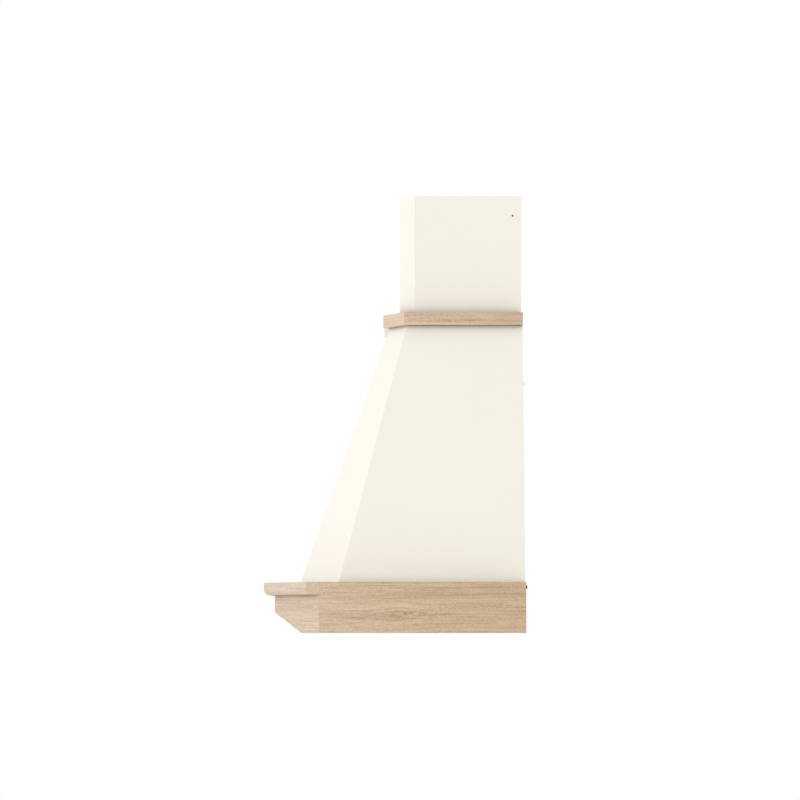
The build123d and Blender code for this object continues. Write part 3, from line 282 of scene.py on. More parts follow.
# %% The distance from the heart
UPPER_STRIP_SEED, SEED_SHIFT, DEPTH_SHARE = 0.53, (3.7, 1.3, 0.9), 0.6
grain, given, result = start_group(
    "wood_grain",
    {"Board": "vector", "Seed": "value", "Pale": "colour", "Dark": "colour",
     "Glue line": "value", "Heart height": "value", "Heart depth": "value",
     "Figure": "value", "Swell": "value", "Eye": "value", "Near": "value"},
    {**FINISH, "Upper": "value"})
board = given.outputs["Board"]
upper = calculate(grain, "GREATER_THAN", axes_of(grain, board)[2], given.outputs["Glue line"])
piece_seed = calculate(
    grain, "ADD", given.outputs["Seed"], product(grain, upper, UPPER_STRIP_SEED))
shift = add_node(grain, "CombineXYZ", {
    axis: product(grain, piece_seed, share)
    for axis, share in enumerate(SEED_SHIFT)}).outputs[0]
place = calculate_vector(grain, "ADD", board, shift)


def wander(scale_along, scale_across, reach):
    """A noise that bends the lines across the board by up to half the reach, in metres."""
    size = stretched(grain, place, scale_along, scale_across, scale_across)
    waves = noise(grain, size).outputs["Color"]
    waves = calculate_vector(grain, "SUBTRACT", waves, (0.5, 0.5, 0.5))
    return calculate_vector(grain, "MULTIPLY", waves, (0.0, reach, reach))


slow_bend = wander(scale_along=3.0, scale_across=10.0, reach=0.012)
small_bend = wander(scale_along=14.0, scale_across=40.0, reach=0.0012)
curl = add_node(grain, "VectorMath", {
    0: wander(scale_along=55.0, scale_across=90.0, reach=0.014),
    3: given.outputs["Near"]}, operation="SCALE").outputs[0]
bent = board
for bend in (slow_bend, small_bend, curl):
    bent = calculate_vector(grain, "ADD", bent, bend)
bent_x, bent_y, bent_z = axes_of(grain, bent)
from_heart_y = calculate(grain, "SUBTRACT", bent_y, given.outputs["Heart depth"])
from_heart_z = calculate(grain, "SUBTRACT", bent_z, given.outputs["Heart height"])
radius = calculate(grain, "ADD", product(grain, from_heart_y, from_heart_y),
                   product(grain, from_heart_z, from_heart_z))
radius = calculate(grain, "ADD", calculate(grain, "SQRT", radius), given.outputs["Swell"])
grain_place = add_node(grain, "CombineXYZ", {
    0: bent_x, 1: radius, 2: product(grain, bent_y, DEPTH_SHARE)}).outputs[0]
grain_place = calculate_vector(grain, "ADD", grain_place, shift)
print("distance from the heart", len(grain.nodes), "nodes")

# %% [markdown]
# Close up, this wood shows marks of many sizes: wide soft rings, long thin lines, short
# strokes, tiny specks, a few dark flecks, hair-thin fibres, open pores and slow clouds of tone.
# Each is the same noise at another length and width. Their shares add up to a darkness that
# mixes the board's pale and dark colours, and the fibres, pores and rings also give its relief.

# %% Rings, streaks, fibres and pores
SMOOTH_WOOD, ROUGH_WOOD = 0.58, 0.70
FIBRE_RELIEF, RING_RELIEF = 0.4, 0.25


def marks(along, across, low, high, detail=1.0, roughness=0.5, deep=None):
    """Noise marks of one length and width, as a share from 0 to 1."""
    size = stretched(grain, grain_place, along, across, deep or across)
    return between(grain, noise(grain, size, 1.0, detail, roughness).outputs[0], low, high)


ring = marks(along=1.2, across=230.0, low=0.38, high=0.64, detail=3.0, roughness=0.6, deep=30.0)
line = marks(along=5.0, across=450.0, low=0.36, high=0.64)
stroke = marks(along=34.0, across=430.0, low=0.38, high=0.66)
speck = marks(along=240.0, across=420.0, low=0.34, high=0.66)
fleck = marks(along=24.0, across=330.0, low=0.70, high=0.80)
fibre = marks(along=60.0, across=1900.0, low=0.35, high=0.70, detail=2.0)
pore = marks(along=110.0, across=1500.0, low=0.62, high=0.74)
cloud = marks(along=9.0, across=45.0, low=0.30, high=0.70, detail=2.0)
near_mark = product(grain, given.outputs["Near"], stroke)
darkness = product(grain, ring, given.outputs["Figure"])
for mark, share in (
        (line, 0.26), (stroke, 0.15), (speck, 0.26), (fleck, 0.45), (fibre, 0.06),
        (pore, 0.10), (cloud, 0.12), (given.outputs["Eye"], 0.13), (near_mark, 0.35)):
    darkness = calculate(grain, "ADD", darkness, product(grain, mark, share))
relief = calculate(grain, "SUBTRACT", product(grain, fibre, FIBRE_RELIEF), pore)
relief = calculate(grain, "SUBTRACT", relief, product(grain, ring, RING_RELIEF))
fill_inputs(grain, result, {
    "Color": mix_colour(grain, darkness, given.outputs["Pale"], given.outputs["Dark"]),
    "Roughness": between(grain, line, 0.0, 1.0, SMOOTH_WOOD, ROUGH_WOOD),
    "Height": relief, "Upper": upper})
print("grain group", len(grain.nodes), "nodes")

# %% [markdown]
# Not all of a board has one tone. The side pieces get slowly darker and warmer towards the
# wall, and the ends show end grain, which is a little yellower. Along the lower edge of the
# cornice's sides a pale band is a painted highlight, with a thin dark line of painted shade at its
# very bottom. From the photograph's low eye a narrow wedge of the underside of the cornice's front
# piece must show. The photograph is white there, so that underside is cream, and the piece gets
# no painted shade in its corners.

# %% Tones of ends, painted light on edges, and the underside
WALL_END_TONE = (0.905, 0.870, 0.825)
DRIFT_FROM, DRIFT_TO = -0.42, -0.02
END_TONE, END_FACING = (0.98, 0.96, 0.89), 0.8
# A painted highlight along the lower edge, and a line of painted shade on the arris below it
EDGE_HIGHLIGHT_TONE, EDGE_FADE = (1.15, 1.15, 1.17), 0.0008
ARRIS_SHADE_TONE, ARRIS_FROM, ARRIS_TO = (0.50, 0.44, 0.38), 0.0001, 0.0004
UNDER_CREAM = (252, 250, 244)


def tone_to_wall(tree, colour, board):
    """The colour, slowly toned along a board that runs to the wall."""
    drift = between(tree, axes_of(tree, board)[0], DRIFT_FROM, DRIFT_TO)
    return times(tree, colour, drift, WALL_END_TONE)


def tone_ends(tree, colour, normal, turn):
    """The colour, toned on the ends: their normal points along the board."""
    along = (math.cos(math.radians(turn)), math.sin(math.radians(turn)), 0.0)
    facing = add_node(tree, "VectorMath", {0: normal, 1: along}, operation="DOT_PRODUCT")
    facing = calculate(tree, "ABSOLUTE", facing.outputs["Value"])
    is_end = calculate(tree, "GREATER_THAN", facing, END_FACING)
    return times(tree, colour, is_end, END_TONE)


def paint_lower_edge_light(tree, colour, board, low_z, edge_height):
    """The colour with a painted highlight up to some height above the lower edge, and painted shade
    on the arris below it.
    """
    height = axes_of(tree, board)[2]
    edge_top = low_z + edge_height
    in_highlight = between(tree, height, edge_top, edge_top + EDGE_FADE, 1.0, 0.0)
    colour = times(tree, colour, in_highlight, EDGE_HIGHLIGHT_TONE)
    in_arris_shade = between(tree, height, low_z + ARRIS_FROM, low_z + ARRIS_TO, 1.0, 0.0)
    return times(tree, colour, in_arris_shade, ARRIS_SHADE_TONE)


def paint_under(tree, colour, normal, tilt):
    """The colour, with cream where the normal's Z is lower than minus the tilt."""
    looks_down = calculate(tree, "LESS_THAN", axes_of(tree, normal)[2], -tilt)
    return mix_colour(tree, looks_down, colour, screen_colour(*UNDER_CREAM))


print("tone helpers ready")

# %% [markdown]
# Each board comes from another plank, so each gets its own seed, tones and direction. The heart
# line lies below and behind each board, measured from the board's own middle.

# %% A material for one board
NO_GLUE_LINE = 10.0
UPPER_STRIP_TONE = (0.95, 0.93575, 0.9215)
# Painted shade in the wood's corners: its tone and its reach in metres
WOOD_CORNER_SHADE, WOOD_SHADE_REACH = (0.52, 0.44, 0.36, 1.0), 0.016
WOOD_BUMP, WOOD_BUMP_DEPTH = 0.35, 0.0004
WOOD_SPECULAR = 0.35


def board_middle(name, turn):
    """The middle of a node's box, in axes turned so that X runs along the board."""
    rotation = Matrix.Rotation(math.radians(-turn), 3, "Z")
    corners = [rotation @ vertex.co for vertex in nodes[name].data.vertices]
    return [(min(c[axis] for c in corners) + max(c[axis] for c in corners)) / 2
            for axis in range(3)]


def bare_wood(name, turn, seed, tones, figure=0.10, heart_below=0.12, heart_behind=0.03,
              glue_line=NO_GLUE_LINE, knot=None, highlight_height=0.0, shade_tone=WOOD_CORNER_SHADE,
              drifts=False, painted_under=0.0):
    """Dresses one board, whose length runs at some degrees from X; tones are pale and dark."""
    material, tree, shader = start_material(f"{name}_wood")
    board = object_vector(tree, turn)
    middle = board_middle(name, turn)
    pale, dark = tones
    values = {
        "Board": board, "Seed": seed, "Pale": screen_colour(*pale), "Dark": screen_colour(*dark),
        "Glue line": glue_line, "Figure": figure,
        "Heart height": middle[2] - heart_below, "Heart depth": middle[1] + heart_behind}
    if knot:
        knotted = place_group(tree, swell, {"Board": board, **knot})
        values.update({socket: knotted.outputs[socket] for socket in ("Swell", "Eye", "Near")})
    made = place_group(tree, grain, values)
    finish_shader(tree, shader, made, WOOD_BUMP, WOOD_BUMP_DEPTH)

    colour = made.outputs["Color"]
    normal = add_node(tree, "NewGeometry").outputs["Normal"]
    if glue_line != NO_GLUE_LINE:
        colour = times(tree, colour, made.outputs["Upper"], UPPER_STRIP_TONE)
    if drifts:
        colour = tone_to_wall(tree, colour, board)
    colour = tone_ends(tree, colour, normal, turn)
    # Painted highlight and painted shade along the lower edge
    if highlight_height:
        colour = paint_lower_edge_light(tree, colour, board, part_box(name)[0][2], highlight_height)
    if painted_under:
        colour = paint_under(tree, colour, normal, painted_under)
    # Painted shade in the corners, where the board meets other pieces
    colour = with_corner_shade(tree, colour, shade_tone, WOOD_SHADE_REACH)
    tree.links.new(colour, shader.inputs["Base Color"])
    shader.inputs["Specular IOR Level"].default_value = WOOD_SPECULAR
    dress(material, name)


print("board materials ready")

# %% [markdown]
# The side boards are glued up from two strips, the upper one a little darker, and a knot shows
# in the lower one. A smaller knot, dark right through, shows in the corner board, and the left
# one mirrors the right. The tones differ a little from board to board, as in the photograph.

# %% Dress the side and corner boards
SIDE = (236, 214, 187), (177, 147, 114)
CORNER = (232, 214, 194), (188, 163, 139)
EDGE = (232, 215, 198), (194, 169, 147)
CORNICE = (235, 214, 189), (177, 148, 118)
CORNICE_EDGE = (236, 217, 196), (198, 172, 145)
# The glue line's height, and the height of the painted highlight on the cornice's lower edge
GLUE_LINE_Z, CORNICE_HIGHLIGHT_HEIGHT = 0.067, 0.0042
SIDE_KNOT = {
    "Knot": (-0.253, 0.0, 0.037), "Half length": 0.0095, "Half height": 0.0055, "Rim": 1.0}
CORNER_KNOT_X, CORNER_KNOT_Z = 0.023, 0.051
CORNER_KNOT = {"Half length": 0.0060, "Half height": 0.0022, "Rim": 0.0}
for side, seed in (("right", 0.21), ("left", 1.37)):
    bare_wood(f"frame_side_board_{side}", 90.0, seed, SIDE, heart_below=0.16, heart_behind=0.02,
              glue_line=GLUE_LINE_Z, knot=SIDE_KNOT, drifts=True)
    bare_wood(f"cornice_side_{side}", 90.0, seed + 0.4, CORNICE,
              highlight_height=CORNICE_HIGHLIGHT_HEIGHT, drifts=True)
    bare_wood(f"ledge_side_board_{side}", 90.0, seed + 0.9, SIDE, drifts=True)
for side, turn, seed, way in (("right", 30.0, 2.11, 1), ("left", -30.0, 3.23, -1)):
    knot = {**CORNER_KNOT, "Knot": (way * CORNER_KNOT_X, 0.0, CORNER_KNOT_Z)}
    bare_wood(f"frame_corner_board_{side}", turn, seed, CORNER, knot=knot)
    bare_wood(f"shelf_moulding_corner_{side}", turn, seed + 0.5, EDGE)
    bare_wood(f"cornice_corner_{side}", turn, seed + 0.3, CORNICE_EDGE)
    bare_wood(f"ledge_corner_board_{side}", turn, seed + 0.8, CORNER)
print("side and corner boards", len(dressed))

# %% Dress the front and back boards
# A white tone: no painted shade in the corners
NO_CORNER_SHADE = (1.0, 1.0, 1.0, 1.0)
ROUNDED_UNDER = 0.25
bare_wood("frame_front_board", 0.0, 4.02, CORNER)
bare_wood("shelf_moulding_front", 0.0, 4.71, EDGE)
bare_wood("cornice_front", 0.0, 5.33, CORNICE_EDGE, shade_tone=NO_CORNER_SHADE, painted_under=ROUNDED_UNDER)
bare_wood("ledge_front_board", 0.0, 5.91, CORNER)
bare_wood("frame_back_rail", 0.0, 6.4, SIDE)
print("all boards", len(dressed))

# %% [markdown]
# The battens and rails inside are planed softwood: the same grain group, with yellower colours
# and a stronger figure, and a heart closer by.

# %% Softwood inside
SOFTWOOD = (236, 213, 174), (194, 150, 102)
for count, (name, turn) in enumerate((
        ("insert_battens", 0.0), ("body_hanging_rail", 0.0), ("body_lower_rail", 0.0),
        ("body_corner_battens", 0.0), ("chimney_rest_battens", 90.0))):
    bare_wood(name, turn, 7.7 + 0.6 * count, SOFTWOOD, figure=0.4, heart_below=0.05,
              heart_behind=0.05)
print("with softwood", len(dressed))

# %% [markdown]
# ## Cream paint
# The body and the chimney are sprayed with a satin cream paint. Close up, sprayed paint has a
# very fine orange-peel texture, and its tone drifts a little over a panel. Both are noise,
# so one group makes them, with the tone and the grain size as inputs. The same group finishes
# moulded plastic and enamel, with other values.

# %% The fine surface group
DRIFT_SIZE, SHEEN_SIZE = 5.0, 60.0
DRIFTED_TONE = (0.86, 0.85, 0.83)
fine, given, result = start_group(
    "fine_surface",
    {"Place": "vector", "Tone": "colour", "Drift": "value", "Peel size": "value",
     "Smooth": "value", "Rough": "value"},
    FINISH)
spot = given.outputs["Place"]
drift = between(fine, noise(fine, spot, DRIFT_SIZE, detail=3.0).outputs[0], *MOST_NOISE)
drift = product(fine, drift, given.outputs["Drift"])
sheen = noise(fine, spot, SHEEN_SIZE, detail=3.0).outputs[0]
fill_inputs(fine, result, {
    "Color": times(fine, given.outputs["Tone"], drift, DRIFTED_TONE),
    "Roughness": between(
        fine, sheen, *MOST_NOISE, given.outputs["Smooth"], given.outputs["Rough"]),
    "Height": noise(fine, spot, given.outputs["Peel size"]).outputs[0]})


def fine_finish(name, tone, drift, peel_size, roughness, bump):
    """A material with this surface; roughness is from and to, bump is strength and depth."""
    material, tree, shader = start_material(name)
    made = place_group(tree, fine, {
        "Place": object_vector(tree), "Tone": screen_colour(*tone), "Drift": drift,
        "Peel size": peel_size, "Smooth": roughness[0], "Rough": roughness[1]})
    finish_shader(tree, shader, made, *bump)
    return material


print("fine surface group", len(fine.nodes), "nodes")

# %% [markdown]
# The paint gets painted shade in its corners, which reaches further on the chimney than on the
# body. The photograph shows the chimney's narrow corner panels darker still at their foot, where
# they go down behind the cornice, so the last call paints those again with deeper painted shade.

# %% Spray the panels
CREAM = (247, 243, 233)


def cream_paint(part, shade_tone, reach):
    """Sprays the panels of one part, with painted shade in its corners."""
    paint = fine_finish(f"{part}_cream_paint", CREAM, drift=0.10, peel_size=700.0,
                        roughness=(0.36, 0.44), bump=(0.12, 0.0002))
    tree, shader = paint.node_tree, shader_of(paint)
    plain_cream = shader.inputs["Base Color"].links[0].from_socket
    # Painted shade in the paint's corners
    tree.links.new(with_corner_shade(tree, plain_cream, shade_tone, reach), shader.inputs["Base Color"])
    panels = [name for name in nodes if name.startswith(f"{part}_") and "panel" in name]
    dress(paint, *panels)
    print(part, "painted panels", len(panels))


# Painted shade in the corners: its tone and reach, deepest at the foot of the chimney's corner
# panels
cream_paint("body", shade_tone=(0.66, 0.66, 0.65, 1.0), reach=0.045)
cream_paint("chimney", shade_tone=(0.50, 0.50, 0.49, 1.0), reach=0.07)
cream_paint("chimney_corner", shade_tone=(0.18, 0.18, 0.17, 1.0), reach=0.085)

# %% [markdown]
# ## Plywood
# The board that carries the extractor is birch plywood. Its faces show calm grain, and its
# sawn edges show the plies. The face or the edge is told by the surface normal: an upright
# face is an edge.

# %% Plywood board
PLY_THICKNESS, PLY_BLEND = 0.0016, 0.3
EDGE_FACING = 0.5
plywood, tree, shader = start_material("birch_plywood")
board = object_vector(tree)
made = place_group(tree, grain, {
    "Board": board, "Seed": 9.4, "Pale": screen_colour(232, 213, 182),
    "Dark": screen_colour(206, 179, 141), "Glue line": NO_GLUE_LINE, "Heart height": 0.5,
    "Heart depth": 0.1, "Figure": 0.22})
finish_shader(tree, shader, made, bump_strength=0.3, bump_depth=0.0003)
ply_phase = product(tree, axes_of(tree, board)[2], math.pi / PLY_THICKNESS)
ply = between(tree, calculate(tree, "SINE", ply_phase), -PLY_BLEND, PLY_BLEND)
plies = mix_colour(tree, ply, screen_colour(214, 184, 140), screen_colour(150, 112, 74))
facing = axes_of(tree, add_node(tree, "NewGeometry").outputs["Normal"])[2]
is_edge = calculate(tree, "LESS_THAN", calculate(tree, "ABSOLUTE", facing), EDGE_FACING)
colour = mix_colour(tree, is_edge, made.outputs["Color"], plies)
tree.links.new(colour, shader.inputs["Base Color"])
dress(plywood, "insert_board")
print("plywood", len(tree.nodes), "nodes")

# %% [markdown]
# ## Metals
# Galvanised sheet has large dull zinc crystals, which are Voronoi cells of slightly different
# tone and roughness, under a fine frost.

# %% Galvanised sheet
CRYSTAL_SIZE, FROST_SIZE = 130.0, 400.0
SMOOTH_ZINC, ROUGH_ZINC = 0.38, 0.55
zinc, given, result = start_group(
    "zinc_crystals", {"Place": "vector", "Crystal size": "value"}, FINISH)
cells = add_node(zinc, "TexVoronoi", {
    "Vector": given.outputs["Place"], "Scale": given.outputs["Crystal size"]}).outputs["Color"]
cell_tone = add_node(zinc, "SeparateColor", {0: cells}).outputs[0]
fill_inputs(zinc, result, {
    "Color": mix_colour(
        zinc, cell_tone, screen_colour(176, 180, 184), screen_colour(206, 209, 212)),
    "Roughness": between(zinc, cell_tone, 0.0, 1.0, SMOOTH_ZINC, ROUGH_ZINC),
    "Height": noise(zinc, given.outputs["Place"], FROST_SIZE, detail=3.0).outputs[0]})
galvanised, tree, shader = start_material("galvanised_sheet")
made = place_group(tree, zinc, {"Place": object_vector(tree), "Crystal size": CRYSTAL_SIZE})
finish_shader(tree, shader, made, bump_strength=0.15, bump_depth=0.0001)
shader.inputs["Metallic"].default_value = 1.0
dress(galvanised, "insert_pan", "insert_casing", "outlet_collar", "fan_scroll",
      "chimney_wall_bracket")
print("zinc group", len(zinc.nodes), "nodes")

# %% [markdown]
# Brushed steel has fine lines one way. It stays fully metallic, and the lines only change its
# tone, its roughness and its relief a little.

# %% Brushed steel and aluminium
LINE_SIZE = (12.0, 3500.0, 3500.0)
LINE_TONE, LINE_ROUGH = (0.82, 0.82, 0.82, 1.0), 0.14
brush, given, result = start_group(
    "brushed_lines", {"Place": "vector", "Tone": "colour", "Rough": "value"}, FINISH)
lines = noise(brush, stretched(brush, given.outputs["Place"], *LINE_SIZE)).outputs[0]
lines = between(brush, lines, *MOST_NOISE)
line_tone = mix_colour(brush, 1.0, given.outputs["Tone"], LINE_TONE, "MULTIPLY")
line_rough = product(brush, lines, LINE_ROUGH)
fill_inputs(brush, result, {
    "Color": mix_colour(brush, lines, line_tone, given.outputs["Tone"]),
    "Roughness": calculate(brush, "ADD", given.outputs["Rough"], line_rough),
    "Height": lines})


def brushed_metal(name, tone, rough):
    """A metal with fine lines along X; tone is a screen colour."""
    material, tree, shader = start_material(name)
    made = place_group(tree, brush, {
        "Place": object_vector(tree), "Tone": screen_colour(*tone), "Rough": rough})
    finish_shader(tree, shader, made, bump_strength=0.2, bump_depth=0.00005)
    shader.inputs["Metallic"].default_value = 1.0
    return material


dress(brushed_metal("brushed_trim", (205, 205, 204), 0.24), "insert_trim")
aluminium = brushed_metal("filter_aluminium", (214, 215, 217), 0.30)
dress(aluminium, "grease_filter_right", "grease_filter_left")
dress(brushed_metal("shaft_steel", (190, 190, 192), 0.18), "fan_shaft")
dress(brushed_metal("lamp_chrome", (222, 223, 225), 0.08), "lamp_bezels")
print("brushed group", len(brush.nodes), "nodes")

# %% [markdown]
# Inside its frame each filter shows a pack of knitted wire. Most of it is gaps, and their dark is
# painted shade: the pack's colour mixes pale wire with near black. The pack is told by its place:
# a box round the middle of each filter, mirrored about the middle of the hood by the absolute value
# of X.

# %% Knitted wire in the filters
PACK_MIDDLE = (0.1195, -0.153, 0.049)
PACK_HALF_SIZE = (0.1041, 0.0831, 0.0022)
WIRE_SIZE, WIRE_RANGE = 900.0, (0.42, 0.66)
tree, shader = aluminium.node_tree, shader_of(aluminium)
spot = object_vector(tree)
spot_x, spot_y, spot_z = axes_of(tree, spot)
mirrored = calculate(tree, "ABSOLUTE", spot_x), spot_y, spot_z
within = []
for value, middle, half_size in zip(mirrored, PACK_MIDDLE, PACK_HALF_SIZE):
    distance = calculate(tree, "ABSOLUTE", calculate(tree, "SUBTRACT", value, middle))
    within.append(calculate(tree, "LESS_THAN", distance, half_size))
in_pack = product(tree, product(tree, within[0], within[1]), within[2])
wires = noise(tree, spot, WIRE_SIZE, detail=3.0, roughness=0.6).outputs[0]
wires = between(tree, wires, *WIRE_RANGE)
# Pale wire, and painted shade in the gaps between the wires
wire_and_gap_shade = mix_colour(tree, wires, screen_colour(34, 34, 36), screen_colour(128, 129, 132))
plain_metal = shader.inputs["Base Color"].links[0].from_socket
tree.links.new(mix_colour(tree, in_pack, plain_metal, wire_and_gap_shade), shader.inputs["Base Color"])
print("filter material", len(tree.nodes), "nodes")

# %% [markdown]
# ## Plastics, enamel, rubber and glass
# These are plain moulded or sprayed surfaces, so the fine surface group gives them their tone
# and texture. The lamp lenses are frosted glass: a plain transmission with a rough surface.

# %% Plastics and the rest
motor_enamel = fine_finish("motor_enamel", (52, 52, 55), drift=0.3, peel_size=500.0,
                           roughness=(0.34, 0.46), bump=(0.2, 0.0002))
fan_plastic = fine_finish("fan_plastic", (66, 67, 70), drift=0.3, peel_size=900.0,
                          roughness=(0.48, 0.58), bump=(0.15, 0.0001))
panel_plastic = fine_finish("panel_plastic", (74, 75, 77), drift=0.3, peel_size=2200.0,
                            roughness=(0.46, 0.56), bump=(0.3, 0.0001))
button_plastic = fine_finish("button_plastic", (206, 206, 203), drift=0.2, peel_size=1500.0,
                             roughness=(0.28, 0.36), bump=(0.1, 0.00005))
buffer_rubber = fine_finish("buffer_rubber", (38, 37, 36), drift=0.4, peel_size=1800.0,
                            roughness=(0.7, 0.82), bump=(0.4, 0.0001))
pad_plastic = fine_finish("pad_plastic", (228, 221, 208), drift=0.3, peel_size=1800.0,
                          roughness=(0.5, 0.6), bump=(0.2, 0.0001))
lens_glass = fine_finish("lens_glass", (240, 242, 243), drift=0.1, peel_size=1600.0,
                         roughness=(0.32, 0.42), bump=(0.3, 0.0001))
fill_inputs(lens_glass.node_tree, shader_of(lens_glass), {
    "Transmission Weight": 0.7, "IOR": 1.46})
dress(motor_enamel, "fan_motor")
dress(fan_plastic, "fan_wheel", "damper_flap_front", "damper_flap_back")
dress(panel_plastic, "control_panel")
dress(button_plastic, *[name for name in nodes if name.startswith("button_")])
dress(buffer_rubber, "wall_buffers")
dress(pad_plastic, "wall_pads")
dress(lens_glass, "lamp_lenses")
print("undressed nodes", [name for name in nodes if name not in dressed])

# %% [markdown]
# ## Filter mesh
# A grease filter is a metal frame that holds a pack of knitted wire between two sheets of
# expanded metal, which is a net of diamonds. First come helpers for this and all later pieces:
# a primitive is added, shaped in edit mode, finished with modifiers, and given its finish.

# %% Helpers for new pieces
def new_piece(name, add, **settings):
    """Adds a primitive with nothing else selected, and names it."""
    bpy.ops.object.select_all(action="DESELECT")
    add(**settings)
    piece = bpy.context.object
    piece.name = piece.data.name = name
    return piece


def start_edit():
    bpy.ops.object.mode_set(mode="EDIT")


def end_edit():
    bpy.ops.object.mode_set(mode="OBJECT")


def select_in_edit(piece, kind, wanted):
    """In edit mode, selects the edges or faces for which wanted(edge or face) is true."""
    bpy.ops.mesh.select_mode(type=kind)
    bpy.ops.mesh.select_all(action="DESELECT")
    shape = bmesh.from_edit_mesh(piece.data)
    chosen = [part for part in (shape.edges if kind == "EDGE" else shape.faces) if wanted(part)]
    for part in chosen:
        part.select_set(True)
    bmesh.update_edit_mesh(piece.data)
    return len(chosen)


def face_outwards():
    """In edit mode, turns all faces outwards."""
    bpy.ops.mesh.select_all(action="SELECT")
    bpy.ops.mesh.normals_make_consistent(inside=False)


def apply_modifier(piece, kind, **settings):
    """Adds one modifier to a piece and applies it."""
    made = piece.modifiers.new(kind.lower(), kind)
    for name, value in settings.items():
        setattr(made, name, value)
    bpy.context.view_layer.objects.active = piece
    bpy.ops.object.modifier_apply(modifier=made.name)


def finish_piece(piece, material, body):
    """Gives a piece its finish and the body that it moves with."""
    piece.data.materials.clear()
    piece.data.materials.append(material)
    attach(piece, body)


print("piece helpers ready")

# %% [markdown]
# Poking every square of a grid gives each one a middle point. When the square edges then
# dissolve, diamonds are left, and the Wireframe modifier makes a strand of each edge. That is
# far quicker than placing strands one by one. The under sheet leaves room for the filter's pull.

# %% Diamond net of one sheet
POCKET_LENGTH, POCKET_DEPTH = 0.2076, 0.1656
PULL_HALF_LENGTH, PULL_BACK_Y = 0.024, -0.222
STRAND = 0.0009
CELLS_ALONG, CELLS_ACROSS = 30, 20
STRAIGHT = 1e-5


def is_square_edge(edge):
    """True for an inner edge that runs along X or Y."""
    run = edge.verts[1].co - edge.verts[0].co
    return not edge.is_boundary and min(abs(run.x), abs(run.y)) < STRAIGHT


def mesh_sheet(name, middle_x, middle_z, has_pull):
    """One sheet of expanded metal, with an opening at its front edge if it has a pull."""
    def is_at_pull(face):
        middle = face.calc_center_median()
        return abs(middle.x - middle_x) < PULL_HALF_LENGTH and middle.y < PULL_BACK_Y

    piece = new_piece(name, bpy.ops.mesh.primitive_grid_add, size=1.0,
                      x_subdivisions=CELLS_ALONG, y_subdivisions=CELLS_ACROSS)
    start_edit()
    bpy.ops.transform.resize(value=(POCKET_LENGTH - STRAND, POCKET_DEPTH - STRAND, 1.0))
    bpy.ops.transform.translate(value=(middle_x, PACK_MIDDLE[1], middle_z))
    bpy.ops.mesh.poke()
    select_in_edit(piece, "EDGE", is_square_edge)
    bpy.ops.mesh.dissolve_edges(use_verts=False)
    if has_pull and select_in_edit(piece, "FACE", is_at_pull):
        bpy.ops.mesh.delete(type="FACE")
    end_edit()
    apply_modifier(piece, "WIREFRAME", thickness=STRAND, use_even_offset=False, use_boundary=True)
    start_edit()
    face_outwards()
    end_edit()
    return piece


print("cells", round(POCKET_LENGTH / CELLS_ALONG, 4), "by", round(POCKET_DEPTH / CELLS_ACROSS, 4))

# %% Two sheets on each filter
SHEET_HEIGHTS = {"under": 0.04652, "upper": 0.05148}
mesh_aluminium = brushed_metal("mesh_aluminium", (206, 207, 209), 0.32)
for side in ("right", "left"):
    low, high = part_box(f"grease_filter_{side}")
    middle_x = (low[0] + high[0]) / 2
    for face, sheet_z in SHEET_HEIGHTS.items():
        sheet = mesh_sheet(f"filter_mesh_{face}_{side}", middle_x, sheet_z, face == "under")
        finish_piece(sheet, mesh_aluminium, f"filter_{side}")
    print(side, "filter middle", round(middle_x, 4), "faces", len(sheet.data.polygons))

# %% [markdown]
# ## Screws
# Pan-head screws with a cross recess hold the steel trim and the plywood board, and someone who
# looks up sees them. One head is a short cylinder whose outer rim is bevelled round, and two
# thin boxes cut the cross.

# %% One screw head
NEAR_FACE, RIM_BEVEL = 0.99, 0.62
CROSS_LENGTH, CROSS_WIDTH, CROSS_DEPTH = 1.05, 0.26, 1.1
SMOOTH_ANGLE = math.radians(35)


def screw_head(name, radius, height):
    """A pan head whose seat is at z = 0 and whose round face looks down."""
    head = new_piece(name, bpy.ops.mesh.primitive_cylinder_add, vertices=28, radius=radius,
                     depth=height, location=(0.0, 0.0, -height / 2))
    bpy.ops.object.transform_apply(location=True, rotation=True, scale=True)
    start_edit()
    select_in_edit(head, "EDGE", lambda edge: all(v.co.z < NEAR_FACE * -height for v in edge.verts))
    bpy.ops.mesh.bevel(offset=height * RIM_BEVEL, offset_type="OFFSET", segments=4, profile=0.5)
    end_edit()
    for turn in (0.0, math.pi / 2):
        cutter = new_piece(
            "cross_cutter", bpy.ops.mesh.primitive_cube_add, size=1.0,
            location=(0.0, 0.0, -height), rotation=(0.0, 0.0, turn),
            scale=(radius * CROSS_LENGTH, radius * CROSS_WIDTH, height * CROSS_DEPTH))
        bpy.ops.object.select_all(action="DESELECT")
        head.select_set(True)
        apply_modifier(head, "BOOLEAN", operation="DIFFERENCE", object=cutter, solver="EXACT")
        bpy.data.objects.remove(cutter)
    bpy.ops.object.select_all(action="DESELECT")
    head.select_set(True)
    bpy.ops.object.shade_smooth_by_angle(angle=SMOOTH_ANGLE)
    return head


print("screw head helper ready")

# %% [markdown]
# Screws of one kind are modelled once and copied to every place, each turned a little
# differently, as a hand driver leaves them. Nine hold the plywood board from below, and six
# smaller ones hold the trim.

